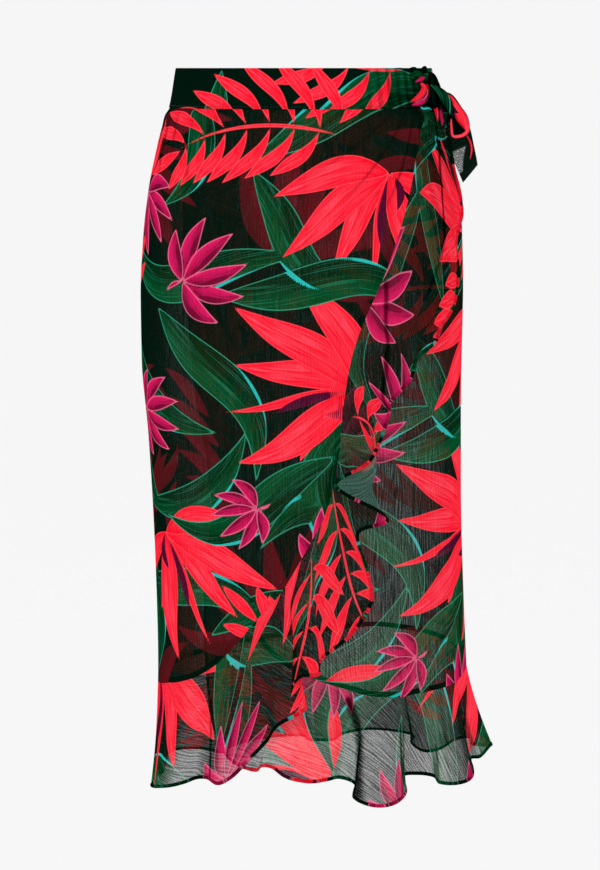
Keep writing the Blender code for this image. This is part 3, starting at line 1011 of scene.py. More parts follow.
@dataclass(frozen=True)
class CrinkleChiffon:
    """Printed crinkle chiffon: sheer where single, close to opaque where doubled or sewn down."""

    name: str
    opacity: float = 0.80
    opacity_swing: float = 0.14
    sparkle: float = 0.22
    ridge_pitch: float = 2.9
    ridge_length: float = 24.0
    relief: float = 0.35
    reverse: Colour = (0.085, 0.20, 0.155, 1.0)
    shade: float = 1.0
    # How strongly the painted see-through ghosts show.
    painted_ghosts: float = 0.0
    inks: Inks = Inks()

    def rimmed(self, desk: Desk, depth: Signal, share: float, ink: Value, line: Colour) -> Value:
        """Return an ink with a share of a line's colour just inside the shape's edge."""
        edge = (1 - (depth - 0.6).absolute() / 0.95).clamped()
        return desk.colours(edge * share, ink, line)

    def painted(
        self, desk: Desk, tone: Signal, crease_shade: Signal, turned: Signal
    ) -> tuple[bpy.types.NodeSocket, Value]:
        """Paint the printed layers over the ground.

        Args:
            desk: The material's nodes.
            tone: The crinkle's tone, from 0 to 1.
            crease_shade: Painted shade in creases and folds, 1 where the cloth lies open, down towards 0.
            turned: How much of the wrong side shows, from 0 to 1.

        Returns:
            The colour's socket, and the part of the cloth that no petal's thick ink fills.
        """
        inks = self.inks
        channel = [value for name in PRINT_SETS for value in desk.attribute(name)]
        across, along = channel[ACROSS_CHANNEL], channel[ALONG_CHANNEL]
        streak = (desk.noise(across / 2.0, along / 30.0) * 2.2 - 0.6).clamped()
        scratch = (desk.noise(across / 1.3, along / 34.0, 0.0) * 8.0 - 5.0).clamped()
        lit_side = (across / 16.0 + streak * 0.5 + 0.25).clamped()
        leaf = desk.colours(lit_side, inks.leaf_dark, inks.leaf_light)
        leaf = desk.colours(scratch * 0.22, leaf, inks.leaf_line)
        fold = (channel[RIM_CHANNEL] / 0.6 + 0.5).clamped()
        towards_tip = (along / 100.0).clamped()
        side = (across / 9.0 + streak * 0.5 + 0.25).clamped()
        # Painted light: maroon ghosts of the under layers' red print, mixed into the ground.
        ghost = (channel[Layer.SHADOW.value] / 1.2 - 0.8).clamped() * (lit_side * 0.4 + 0.6) * self.painted_ghosts
        colour = desk.colours(ghost, inks.ground, inks.shadow)
        bare: Value = 1.0
        for layer in LAYERS:
            depth = channel[layer.value]
            cover = (depth / 0.7 + 0.5).clamped()
            if layer is Layer.STAMEN:
                ink: Value = inks.stamen
            elif layer in LEAVES:
                ink = self.rimmed(desk, depth, 0.9, leaf, inks.leaf_line)
                ink = desk.colours(fold, ink, inks.leaf_fold)
            elif layer in REDS:
                swell = (depth / 6.0).clamped() * (streak * 0.8 + 0.1) * (towards_tip * 0.8 + 0.15)
                petal = desk.colours(swell, inks.red_deep, inks.red_light)
                ink = self.rimmed(desk, depth, 0.6, petal, inks.red_line)
            else:
                petal = desk.colours(side, inks.lily_bright, inks.lily_dark)
                ink = self.rimmed(desk, depth, 0.8, petal, inks.lily_line)
            colour = desk.colours(cover, colour, ink)
            if layer not in (Layer.STAMEN, *LEAVES):
                bare = (1 - cover) * bare
        colour = desk.colours(turned * 0.75, colour, self.reverse)
        # Painted shade: crease_shade darkens the colour in creases, folds and the knot.
        return desk.times(colour, (1.10 - tone * (turned * 0.6 + 0.20)) * self.shade * crease_shade), bare

    def material(self) -> bpy.types.Material:
        """Make the material.

        The crinkle is a noise drawn out along the ridges. It thins and thickens the cloth, so it drives
        the alpha, and its relief is a bump.

        Returns:
            The material.
        """
        desk = Desk(self.name)
        cut = desk.parts(desk.node("ShaderNodeUVMap", {"uv_map": "cloth"}).outputs[0])
        x, y = cut[0] * MM_PER_METRE, cut[1] * MM_PER_METRE
        # The drape attribute holds crease_shade (painted shade), slant and sheer.
        crease_shade, slant, sheer = desk.attribute("drape")
        wander = desk.noise(x / 13.0, y / 70.0)
        wave = desk.math("SINE", x * (2 * math.pi / self.ridge_pitch) + wander * 22.0)
        fine = desk.noise(x / self.ridge_pitch, y / self.ridge_length)
        broad = desk.noise(x / (self.ridge_pitch * 2.6), y / (self.ridge_length * 2.2))
        weave = desk.noise(x / 1.1, y / 1.5, 0.0)
        tone = (wave * 0.42 + fine * 1.1 + broad * 0.4 - 0.25).clamped()
        gaps = (weave * 5.0 - 3.0).clamped() * (sheer.clamped() * 2.2 + self.sparkle)
        clear = 1.0 - self.opacity - (tone - 0.5) * self.opacity_swing + gaps
        clear = (clear + (sheer * 0.62).clamped()).clamped()
        colour, bare = self.painted(desk, tone, crease_shade, (0.0 - sheer).clamped())
        opacity = 1 - desk.math("POWER", clear * (bare * 0.5 + 0.5), slant)
        height = wave * 0.3 + fine * 0.6 + broad * 0.9 + weave * 0.15
        ridges = {"Strength": self.relief, "Distance": 0.0009, "Height": height}
        bump = desk.node("ShaderNodeBump", inputs=ridges)
        return desk.surface({
            "Base Color": colour,
            "Roughness": 0.66 + tone * 0.16,
            "Metallic": 0.0,
            "Specular IOR Level": 0.0,
            "Alpha": opacity.clamped(),
            "Normal": bump.outputs[0],
        })


@dataclass(frozen=True)
class StitchThread:
    """Fine dark sewing thread."""

    name: str = "stitch_thread"
    colour: Colour = (0.006, 0.012, 0.010, 1.0)
    twists_per_metre: float = 5200.0

    def material(self) -> bpy.types.Material:
        """Make the material: a matt dark colour, barred across by the thread's twist.

        Returns:
            The material.
        """
        desk = Desk(self.name)
        x, y, z = desk.parts(desk.node("ShaderNodeTexCoord").outputs["Object"])
        pitch = self.twists_per_metre
        twist = desk.noise(x * pitch + z * pitch, y * pitch)
        return desk.surface({
            "Base Color": desk.times(self.colour, twist + 0.5),
            "Roughness": 0.5 + twist * 0.3,
            "Specular IOR Level": 0.3,
        })


@dataclass
class Workshop:
    """What every sub-assembly needs: the body form, the print and the finishes' materials."""

    body: BodyForm = field(default_factory=BodyForm)
    pattern: TropicalPrint = field(default_factory=TropicalPrint)
    materials: dict[str, bpy.types.Material] = field(default_factory=dict)

    def finish(self, look: CrinkleChiffon | StitchThread) -> bpy.types.Material:
        """Look up a finish's material, which is made once.

        Args:
            look: The finish.

        Returns:
            The material.
        """
        if look.name not in self.materials:
            self.materials[look.name] = look.material()
        return self.materials[look.name]

    def piece(self, name: str, parts: Sequence[Part], look: CrinkleChiffon, slot: str) -> bpy.types.Object:
        """Make a printed cloth piece that rides on the body.

        Args:
            name: The piece's name.
            parts: Its surfaces.
            look: Its finish.
            slot: Not used.

        Returns:
            The object.
        """
        faces, points, flats, values, drapes = [], [], [], [], []
        for part in parts:
            first = sum(map(len, points))
            faces += [[corner + first for corner in face] for face in part.faces()]
            points.append(part.cloth.points.reshape(-1, 3))
            flats.append(part.cloth.flat.reshape(-1, 2))
            values.append(self.pattern.values(part.place.on_print(flats[-1])))
            drapes.append(part.cloth.drape().reshape(-1, 3))
        mesh = fill_mesh(name, np.concatenate(points), faces)
        stored = [*np.split(np.concatenate(values), len(PRINT_SETS), axis=1), np.concatenate(drapes)]
        for label, vectors in zip((*PRINT_SETS, "drape"), stored):
            attribute = mesh.attributes.new(label, "FLOAT_VECTOR", "POINT")
            attribute.data.foreach_set("vector", vectors.astype(np.float32).ravel())
        corners = np.zeros(len(mesh.loops), np.int32)
        mesh.loops.foreach_get("vertex_index", corners)
        layer = mesh.uv_layers.new(name="cloth")
        layer.data.foreach_set("uv", (np.concatenate(flats) * MM)[corners].astype(np.float32).ravel())
        return self.place_object(name, mesh, look)

    def place_object(
        self, name: str, mesh: bpy.types.Mesh, look: CrinkleChiffon | StitchThread
    ) -> bpy.types.Object:
        """Put a mesh in the scene with its finish, riding on the body.

        Args:
            name: The object's name.
            mesh: Its mesh.
            look: Its finish.

        Returns:
            The object.
        """
        made = put(name, mesh)
        mesh.materials.append(self.finish(look))
        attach(made, "root")
        LOG.info("%s: %d faces", name, len(mesh.polygons))
        return made


OVER_LOOK = CrinkleChiffon("over_chiffon", opacity=0.92, opacity_swing=0.07, sparkle=0.16, painted_ghosts=0.85)
UNDER_LOOK = CrinkleChiffon("under_chiffon", opacity=0.78, opacity_swing=0.30, painted_ghosts=0.35)
BACK_LOOK = CrinkleChiffon("back_chiffon", opacity=0.79, opacity_swing=0.24)
FLOUNCE_LOOK = CrinkleChiffon("flounce_chiffon", opacity=0.745, opacity_swing=0.28)
DOUBLED_LOOK = CrinkleChiffon("doubled_chiffon", opacity=0.997, opacity_swing=0.004, sparkle=0.0)
ALLOWANCE_LOOK = CrinkleChiffon("seam_allowance", opacity=0.98, opacity_swing=0.02, sparkle=0.0, shade=0.7)
HEM_LOOK = CrinkleChiffon("rolled_hem", opacity=1.0, opacity_swing=0.0, sparkle=0.0, relief=0.2, shade=0.6)


def tube(
    path: np.ndarray, beside: np.ndarray, half_wide: float | np.ndarray, flatness: float, sides: int
) -> Cloth:
    """Carry an oval profile along a path.

    Each ring is the path's point plus an ellipse: its wide axis is the side direction, made square to the
    path, and its thin axis is square to both.

    Args:
        path: Points in millimetres, (count, 3).
        beside: A direction roughly square to the path at each point.
        half_wide: Half the oval's width, one for all or one for each point.
        flatness: Its thickness as a share of its width.
        sides: How many points each oval has.

    Returns:
        The tube. Its flat places are those across it and along it, as on a doubled strip.
    """
    ahead = np.gradient(path, axis=0)
    ahead /= np.linalg.norm(ahead, axis=1, keepdims=True)
    side = beside - ahead * np.sum(beside * ahead, axis=1, keepdims=True)
    side /= np.linalg.norm(side, axis=1, keepdims=True)
    bearing = np.linspace(0, 2 * np.pi, sides, endpoint=False)[None, :]
    half = np.broadcast_to(half_wide, len(path))[:, None]
    across, away = half * np.cos(bearing), half * flatness * np.sin(bearing)
    square = np.cross(ahead, side)[:, None]
    rings = path[:, None] + across[..., None] * side[:, None] + away[..., None] * square
    return Cloth(rings, joined(across, running_length(path)[:, None]), around=True)


@dataclass
class RolledHem:
    """The narrow rolled hem along a flounce's free edge."""

    half_wide: float = 2.0
    flatness: float = 0.4
    inset: float = 1.2
    sides: int = 8

    def part(self, cloth: Cloth, place: PrintPlace) -> Part:
        """Roll the hem round the last row of a cloth.

        Args:
            cloth: The cloth.
            place: The place of the print that the cloth is cut from.

        Returns:
            The hem's surface.
        """
        inward = cloth.points[:, -2] - cloth.points[:, -1]
        inward /= np.linalg.norm(inward, axis=1, keepdims=True)
        path = cloth.points[:, -1] + inward * self.inset
        roll = tube(path, inward, self.half_wide, self.flatness, self.sides)
        roll.flat = np.broadcast_to(cloth.flat[:, -1:], roll.flat.shape)
        return Part(roll, place, path[:, None])


@dataclass(frozen=True)
class FoldLine:
    """A fold that lies on itself, along a bent line on a flounce: the cloth is thicker there, and painted
    shade darkens it.

    Each point of the line has its row, counted along the flounce's table, and its part of the way from the
    seam to the hem. Half is half the fold's width in millimetres.
    """

    line: tuple[tuple[float, float], ...]
    half: float
    strength: float = 0.85

    def cover(self, run: np.ndarray, down: np.ndarray, corners: np.ndarray) -> np.ndarray:
        """Return how doubled the cloth is, which also sets the painted shade along the fold: a bell of the
        distance to the nearest stretch of the line.

        Args:
            run: Distance along the flounce.
            down: Distance from its seam.
            corners: The line's points in the same measures, (count, 2).

        Returns:
            The values, from 0 to 1.
        """
        places = joined(run, down)
        nearest = np.inf
        for start, end in zip(corners[:-1], corners[1:]):
            share = limited((places - start) @ (end - start) / np.sum((end - start) ** 2))
            away = places - start - share[..., None] * (end - start)
            nearest = np.minimum(nearest, np.linalg.norm(away, axis=-1))
        return self.strength * np.exp(-((nearest / self.half) ** 4))


@dataclass(frozen=True)
class TurnedOver:
    """A stretch of a flounce that is turned over, about one row and from a part of its width to the hem."""

    row: float
    rows: float
    part: float


OVER_FOLD_LINES = table(
    FoldLine,
    (((0.75, 0.15), (1.4, 0.28), (2.25, 0.34), (4.3, 0.37), (5.05, 0.51), (6.15, 0.64)), 3.4, 0.95),
    (((6.15, 0.64), (7.2, 0.61), (8.1, 0.66)), 2.6, 0.6),
    (((9.35, 0.06), (10.65, 0.43), (11.25, 0.54), (11.7, 0.71), (12.8, 0.93)), 4.4),
    (((31.35, 0.29), (30.75, 1.0)), 1.6, 0.7),
)
OVER_TURNED = (TurnedOver(15.0, 0.95, 0.45),)
UNDER_FOLD_LINES = table(
    FoldLine,
    (((16.05, 0.12), (14.6, 0.46)), 5.5, 1.0), (((14.6, 0.46), (14.0, 1.0)), 9.0, 0.9),
    (((11.0, 0.30), (11.4, 1.0)), 1.8, 0.7), (((7.05, 0.60), (7.1, 1.0)), 1.6, 0.6),
    (((3.35, 0.41), (5.1, 1.0)), 1.8, 0.7),
)


@dataclass
class Flounce:
    """A flounce cut on a curve: smooth at its seam, with flutes at its hem."""

    name: str
    folds: tuple[Fold, ...]
    wraps_from: float
    place: PrintPlace
    radius: float
    phase: float = 0.0
    pleated: float = 0.0
    fold_lines: tuple[FoldLine, ...] = ()
    turned: tuple[TurnedOver, ...] = ()
    pleat_waves: float = 1.7
    pleat_height: float = 1.1

    def surface(self, body: BodyForm, places: np.ndarray, part: np.ndarray) -> np.ndarray:
        """Return the surface's points.

        Angle and depth go straight from the seam to the hem, plus a swing that is a parabola of the part
        covered. The lift goes by a power of it, so that the flutes open towards the hem.

        Args:
            body: The body form.
            places: Places along the rows.
            part: Parts of the way from the seam to the hem.

        Returns:
            The points, (places, parts, 3).
        """
        names = ("seam_angle", "seam_below", "hem_angle", "hem_below", "hem_lift", "swing", "drop")
        seam_angle, seam_below, hem_angle, hem_below, hem_lift, swing, drop = (
            values[:, None] for values in rounded(self.folds, places, *names)
        )
        seam_lift = wrap_lift(seam_angle + self.wraps_from)
        swell = 4 * part * (1 - part)
        angle = seam_angle * (1 - part) + hem_angle * part + swing * swell
        below = seam_below * (1 - part) + hem_below * part + drop * swell
        lift = seam_lift + (hem_lift - seam_lift) * part**FLARE_POWER
        ridge = (1 - self.pleat(places)) / 2 * (1 - part) ** 0.6
        pleats = self.pleat_height * self.fade(places) * limited(part * 12) * ridge
        return body.at(angle, below, lift + pleats)

    def fade(self, places: np.ndarray) -> np.ndarray:
        """Return how far the small pleats near the knot still reach, from 1 there to 0."""
        return limited(1 - places / self.pleated)[:, None] if self.pleated else np.zeros((len(places), 1))

    def pleat(self, places: np.ndarray) -> np.ndarray:
        """Return the small pleats' wave along the rows, from -1 to 1."""
        return np.cos(2 * np.pi * places[:, None] * self.pleat_waves)

    def cloth(self, body: BodyForm) -> Cloth:
        """Work out the grid: columns evenly spaced along the longer of seam and hem, rows down the width.

        Args:
            body: The body's form.

        Returns:
            The flounce's surface.
        """
        fine = finely(self.folds, 24)
        ends = self.surface(body, fine, np.array([0.0, 0.5, 1.0]))
        longest = np.max(np.linalg.norm(np.diff(ends, axis=0), axis=-1), axis=1)
        run = np.concatenate([[0.0], np.cumsum(longest)])
        places = np.interp(np.linspace(0, run[-1], round(run[-1] / MESH_PITCH) + 1), run, fine)
        width = np.median(running_length(ends.swapaxes(0, 1))[-1])
        part = np.linspace(0, 1, round(width / MESH_PITCH) + 1)
        made = Cloth(self.surface(body, places, part), np.zeros(0))
        along = running_length(made.points[:, [0, -1]]).mean(axis=1)
        turn = math.radians(self.phase) + along[:, None] / (self.radius + width / 2)
        reach = self.radius + made.depth()
        made.flat = joined(reach * np.sin(turn), reach * np.cos(turn))
        # Painted shade in the small pleats near the knot, strongest at the seam.
        made.crease_shade = 1 - 0.8 * self.fade(places) * (1 - part) ** 0.5 * (1 + self.pleat(places)) / 2
        made.doubled, made.sheer = np.zeros(reach.shape), np.zeros(reach.shape)
        # Fold lines thicken the cloth and paint shade along it.
        for line in self.fold_lines:
            rows, parts = np.array(line.line).T
            corners = joined(np.interp(rows, places, along), parts * width)
            made.doubled = np.maximum(made.doubled, line.cover(along[:, None], part * width, corners))
        for patch in self.turned:
            near = limited((patch.rows - np.abs(places - patch.row)) * 8)[:, None]
            made.sheer = np.minimum(made.sheer, -near * limited((part - patch.part) * 8))
        return made

    def build(self, shop: Workshop) -> None:
        """Args:
            shop: The workshop.
        """
        cloth = self.cloth(shop.body)
        slot = self.name + "_cloth"
        piece = shop.piece(self.name + "_sheet", [Part(cloth, self.place)], FLOUNCE_LOOK, slot)
        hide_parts(self.name)
        hem = shop.piece(self.name + "_hem", [RolledHem().part(cloth, self.place)], HEM_LOOK, slot)
        width = float(cloth.depth()[:, -1].max()) * MM
        length = float(running_length(cloth.points[:, [0, -1]]).mean(axis=1)[-1]) * MM
        area = min(cloth.area(), AREA_LIMIT * width * length)
        LOG.info("%s: %.3f m wide, %.3f m long, %.4f square metres", self.name, width, length, cloth.area())


@dataclass(frozen=True)
class Tuck:
    """A soft ridge in a panel that fades in and out down the cloth, with painted shade along its foot."""

    angle: float
    spread: float
    top: float
    bottom: float
    height: float
    lean: float = 0.0
    # How much painted shade darkens the narrow line along the ridge's foot.
    dark: float = 0.0

    def across(self, angle: np.ndarray, below: np.ndarray) -> np.ndarray:
        """Return the distance to the ridge, in its own spreads."""
        return (angle - self.angle - self.lean * (below - self.top)) / self.spread

    def run(self, below: np.ndarray) -> np.ndarray:
        """Return how strong the ridge is at a depth, from 0 to 1."""
        return np.sin(np.pi * limited((below - self.top) / (self.bottom - self.top))) ** 0.8


# The seventh value, where given, is the painted shade along the ridge's foot.
TUCKS = table(
    Tuck,
    (188, 1.7, 38, 100, 1.4, 0.02, 0.7), (196, 2, 38, 120, 1.3, 0.03, 0.75),
    (205, 1.8, 38, 95, 1, 0.04, 0.6), (216, 2.4, 38, 130, 0.8, 0.05, 0.45),
    (229, 2.4, 38, 90, 0.6, 0.05, 0.3), (352, 2.4, 44, 110, 1.3, 0, 0.4), (341, 3, 44, 150, 1.2, 0, 0.4),
    (322, 1.5, 36, 130, 0.9, -0.1, 0.7), (319.5, 1.6, 36, 150, 0.9, -0.2, 0.6),
    (316, 1.8, 36, 140, 0.8, -0.34, 0.5), (311, 2, 36, 110, 0.7, -0.55, 0.4), (236, 5, 330, 660, 1.8),
    (258, 4, 150, 520, 1.4), (290, 4, 420, 690, 1.6), (312, 4.5, 300, 690, 1.8), (333, 4, 260, 690, 1.6),
    (28, 5, 200, 680, 1.8), (66, 6, 240, 680, 2), (112, 6, 240, 690, 2), (150, 5, 200, 690, 1.8),
)


@dataclass
class Panel:
    """A panel that hangs from the waistband to its lower edge, with upright side seams at some angles."""

    name: str
    edge: tuple[Edge, ...]
    wraps_from: float
    place: PrintPlace
    seam_rows: int
    look: CrinkleChiffon
    sides: tuple[float, ...]
    middle: float = 270.0
    measured_at: float = 400.0
    tucked_up: float = 2.0
    tucked_in: float = 1.15

    def bottom_line(self) -> list[np.ndarray]:
        """Return the lower edge as fine steps of angle and depth, rounded through its points."""
        return rounded(self.edge, finely(self.edge, SEAM_STEPS), "angle", "below")

    def lift(self, angle: np.ndarray, below: np.ndarray) -> np.ndarray:
        """Add up the wrap's spiral and the soft ridges, each a bell across and an eased run down.

        Args:
            angle: Degrees round the body.
            below: Depth below the top edge.

        Returns:
            The lift off the body.
        """
        total = wrap_lift(angle + self.wraps_from)
        for tuck in TUCKS:
            total = total + tuck.height * np.exp(-(tuck.across(angle, below) ** 2)) * tuck.run(below)
        return total

    def crease_shade(self, angle: np.ndarray, below: np.ndarray) -> np.ndarray:
        """Paint shade on the cloth in a narrow line along the foot of each ridge.

        Args:
            angle: Degrees round the body.
            below: Depth below the top edge.

        Returns:
            The painted shade, 1 where the cloth lies open and lower along the ridges' feet.
        """
        total = np.ones(below.shape)
        for tuck in TUCKS:
            foot = np.exp(-(((tuck.across(angle, below) - 0.9) / 0.4) ** 2))
            total = total * (1 - tuck.dark * foot * tuck.run(below))
        return total

    def flat(self, body: BodyForm, angle: np.ndarray, below: np.ndarray) -> np.ndarray:
        """Return places on the cut: the arc from the panel's middle line, and the depth."""
        return joined(body.arc(angle, below) - body.arc(self.middle + 0 * angle, below), below)

    def cloth(self, body: BodyForm) -> Cloth:
        """Work out the grid: columns down the body, rows evenly spaced from the band to the lower edge.

        Args:
            body: The body's form.

        Returns:
            The panel's surface.
        """
        angles, belows = self.bottom_line()
        order = np.argsort(angles)
        angles, belows = angles[order], belows[order]
        fine, run = body.run(angles[0], angles[-1], self.measured_at, 1000)
        columns = round((run[-1] - run[0]) / MESH_PITCH) + 1
        angle = np.interp(np.linspace(run[0], run[-1], columns), run, fine)
        bottom = np.interp(angle, angles, belows)
        top = WAISTBAND_HEIGHT + BAND_SEAM_GAP
        rows = round((belows.max() - top) / MESH_PITCH) + 1
        below = top + np.outer(bottom - top, np.linspace(0, 1, rows))
        below = np.concatenate([below[:, :1] * 0 + WAISTBAND_HEIGHT - self.tucked_up, below], axis=1)
        angle = np.broadcast_to(angle[:, None], below.shape)
        lift = self.lift(angle, below)
        lift[:, 0] = wrap_lift(angle[:, 0] + self.wraps_from) - self.tucked_in
        points = body.at(angle, below, lift)
        return Cloth(points, self.flat(body, angle, below), crease_shade=self.crease_shade(angle, below))

    def allowance(self, body: BodyForm, angle: np.ndarray, below: np.ndarray) -> Cloth:
        """Lay a strip of seam allowance just inside the panel.

        Args:
            body: The body's form.
            angle: Degrees round the body.
            below: Depth below the top edge.

        Returns:
            The strip.
        """
        angle, below = np.broadcast_arrays(angle, below)
        points = body.at(angle, below, self.lift(angle, below) - ALLOWANCE_INSET)
        return Cloth(points, self.flat(body, angle, below))

    def lower_seam(self, body: BodyForm) -> Cloth:
        """Lay the lower seam's allowance: a strip up from the edge, square to it.

        Args:
            body: The body's form.

        Returns:
            The strip.
        """
        angles, belows = (line[: self.seam_rows * SEAM_STEPS + 1] for line in self.bottom_line())
        degree = body.degree_length(angles, belows)
        steps = np.stack([np.gradient(angles) * degree, np.gradient(belows)])
        steps /= np.linalg.norm(steps, axis=0)
        side = -1.0 if np.median(steps[0]) < 0 else 1.0
        away = side * np.linspace(0, ALLOWANCE_WIDTH, 5)
        angle = angles[:, None] + (steps[1] / degree)[:, None] * away
        return self.allowance(body, angle, belows[:, None] - steps[0][:, None] * away)

    def side_seam(self, body: BodyForm, angle: float) -> Cloth:
        """Lay the allowance of an upright side seam: a strip beside one angle.

        Args:
            body: The body's form.
            angle: The seam's angle.

        Returns:
            The strip.
        """
        angles, belows = self.bottom_line()
        below = np.linspace(WAISTBAND_HEIGHT + 2, belows[np.argmin(np.abs(angles - angle))], 160)[:, None]
        spread = np.linspace(0, ALLOWANCE_WIDTH, 4) * (1.0 if angle < angles.mean() else -1.0)
        degree = body.degree_length(np.full_like(below, angle), below)
        return self.allowance(body, angle + spread / degree, below)

    def build(self, shop: Workshop) -> None:
        """Args:
            shop: The workshop.
        """
        cloth = self.cloth(shop.body)
        slot = self.name + "_cloth"
        piece = shop.piece(self.name + "_sheet", [Part(cloth, self.place)], self.look, slot)
        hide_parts(self.name)
        strips = {"seam": self.lower_seam(shop.body)}
        strips |= {f"side_{angle:.0f}": self.side_seam(shop.body, angle) for angle in self.sides}
        sewn = [
            shop.piece(f"{self.name}_{label}", [Part(strip, self.place)], ALLOWANCE_LOOK, slot)
            for label, strip in strips.items()
        ]
        width, length = (round(float(np.ptp(cloth.flat[..., axis])) * MM, 3) for axis in (0, 1))
        area = min(cloth.area(), width * length)
        LOG.info("%s: cut %.3f by %.3f m", self.name, width, length)


@dataclass
class Waistband:
    """The doubled band, wound more than once round and gathered into the knot."""

    start: float = 205.0
    end: float = 698.0
    wall: float = 1.6
    pitch: float = 1.9
    gather_start: float = 652.0
    gather_pitch: float = 5.2
    gather_height: float = 1.1
    puff_start: float = 672.0
    puff_pitch: float = 10.5
    puff_height: float = 2.2
    stitch_pitch: float = 3.2
    stitch_sides: int = 6
    stitches_up: float = 2.4
    place: PrintPlace = PrintPlace(118, 4)

    def profile(self) -> tuple[np.ndarray, np.ndarray]:
        """Draw the band's closed section.

        It goes up the outside, round the fold at the top, down the inside and round the lower edge.

        Returns:
            Depths below the top edge, and distances off the band's middle.
        """
        half = self.wall / 2
        outside = np.linspace(WAISTBAND_HEIGHT - half, half, 22)
        inside = outside[::-2]
        bend = np.linspace(0, np.pi, 7)[1:-1]
        rise, off = half * np.sin(bend), half * np.cos(bend)
        below = np.concatenate([outside, half - rise, inside, WAISTBAND_HEIGHT - half + rise])
        return below, np.concatenate([0 * outside + half, off, 0 * inside - half, -off])

    def grown(self, along: np.ndarray, start: float) -> np.ndarray:
        """Return how far something that starts along the band has grown, 1 at the band's end."""
        return limited((along - start) / (self.end - start))

    def gathers(self, along: np.ndarray) -> np.ndarray:
        """Return the gathers' wave along the band, 1 in each valley and -1 on each pleat."""
        return np.cos(2 * np.pi * (along - self.gather_start) / self.gather_pitch)

    def pucker(self, along: np.ndarray, below: np.ndarray) -> np.ndarray:
        """Return the gathers' lift: upright pleats that deepen to the knot, with slanting drag folds.

        Args:
            along: Degrees along the band.
            below: Depth below the top edge.

        Returns:
            The lift, never below zero.
        """
        pleats = (1 - self.gathers(along)) / 2
        drags = (1 + np.sin(below / 1.9 + along * 0.35)) / 2
        return self.gather_height * self.grown(along, self.gather_start) * pleats * (0.6 + 0.4 * drags)

    def cloth(self, body: BodyForm) -> Cloth:
        """Carry the closed section along the wound strip.

        Args:
            body: The body's form.

        Returns:
            The band's surface.
        """
        fine, run = body.run(self.start, self.end, WAISTBAND_HEIGHT / 2)
        even = np.linspace(run[0], run[-1], round((run[-1] - run[0]) / self.pitch) + 1)
        along = np.interp(even, run, fine)[:, None]
        below, off = self.profile()
        swell = self.puff_height * np.sin(2 * np.pi * (along - self.puff_start) / self.puff_pitch) + 0.4
        lifted = below - self.grown(along, self.puff_start) * swell * (1 - below / WAISTBAND_HEIGHT)
        points = body.at(along, lifted, wrap_lift(along) + self.pucker(along, below) + off)
        # Painted shade: the gathers' valleys, and fine slanting lines across them, darken towards the knot.
        valley = (0.5 + 0.5 * self.gathers(along)) ** 2
        narrow = (0.5 + 0.5 * np.cos(2 * np.pi * (along - 0.05 * below) / 2.3)) ** 2
        ramp = self.grown(along, self.gather_start)
        crease_shade = (1 - 0.95 * ramp**0.5 * valley) * (1 - 0.6 * ramp * narrow)
        return Cloth(points, joined(even[:, None] - run[0], below), around=True, crease_shade=crease_shade)

    def stitches(self, shop: Workshop) -> bpy.types.Object:
        """Sew the stitches near the band's lower edge: spindles along the seam, all worked at once.

        Args:
            shop: The workshop.

        Returns:
            The stitches' object.
        """
        fine, run = shop.body.run(RIGHT_SEAM + 1, self.end - 6, WAISTBAND_HEIGHT - 3)
        sides = self.stitch_sides
        count = int((run[-1] - run[0]) / self.stitch_pitch)
        starts = run[0] + np.arange(count)[:, None] * self.stitch_pitch
        along = np.interp(starts + np.array([0.0, 0.25, 1.1, 1.95, 2.2]), run, fine)
        radii = np.array([0.02, 0.24, 0.3, 0.24, 0.02])[:, None, None]
        below = np.full_like(along, WAISTBAND_HEIGHT - self.stitches_up)
        lift = wrap_lift(along) + self.pucker(along, below) + self.wall / 2
        middle = shop.body.at(along, below, lift)
        outward = shop.body.at(along, below, lift + 1.0) - middle
        outward /= np.linalg.norm(outward, axis=-1, keepdims=True)
        bearing = np.linspace(0, 2 * np.pi, sides, endpoint=False)[:, None]
        up = np.array([0.0, 0.0, 1.0])
        rings = middle[:, :, None] + radii * (np.cos(bearing) * outward[:, :, None] + np.sin(bearing) * up)
        number = np.arange(len(radii) * sides).reshape(-1, sides)
        first = number.size * np.arange(count)[:, None, None]
        squares = (Cloth(rings[0], np.zeros(0), around=True).faces() + first).reshape(-1, 4)
        ends = (np.stack([number[0][::-1], number[-1]]) + first).reshape(-1, sides)
        inner = np.repeat(middle[:, :, None], sides, axis=2).reshape(-1, 3)
        points = rings.reshape(-1, 3)
        faces = outwards(points, squares.tolist(), inner) + outwards(points, ends.tolist(), inner)
        mesh = fill_mesh("band_stitches", points, faces)
        return shop.place_object("band_stitches", mesh, StitchThread())

    def build(self, shop: Workshop) -> None:
        """Args:
            shop: The workshop.
        """
        cloth = self.cloth(shop.body)
        band = Part(cloth, self.place, cloth.points.mean(axis=1, keepdims=True))
        piece = shop.piece("waistband_sheet", [band], DOUBLED_LOOK, "waistband_cloth")
        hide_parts("waistband")
        stitches = self.stitches(shop)


@dataclass(frozen=True)
class Bend:
    """A point of a padded fold's middle line, and half the fold's width there."""

    x: float
    y: float
    z: float
    half: float


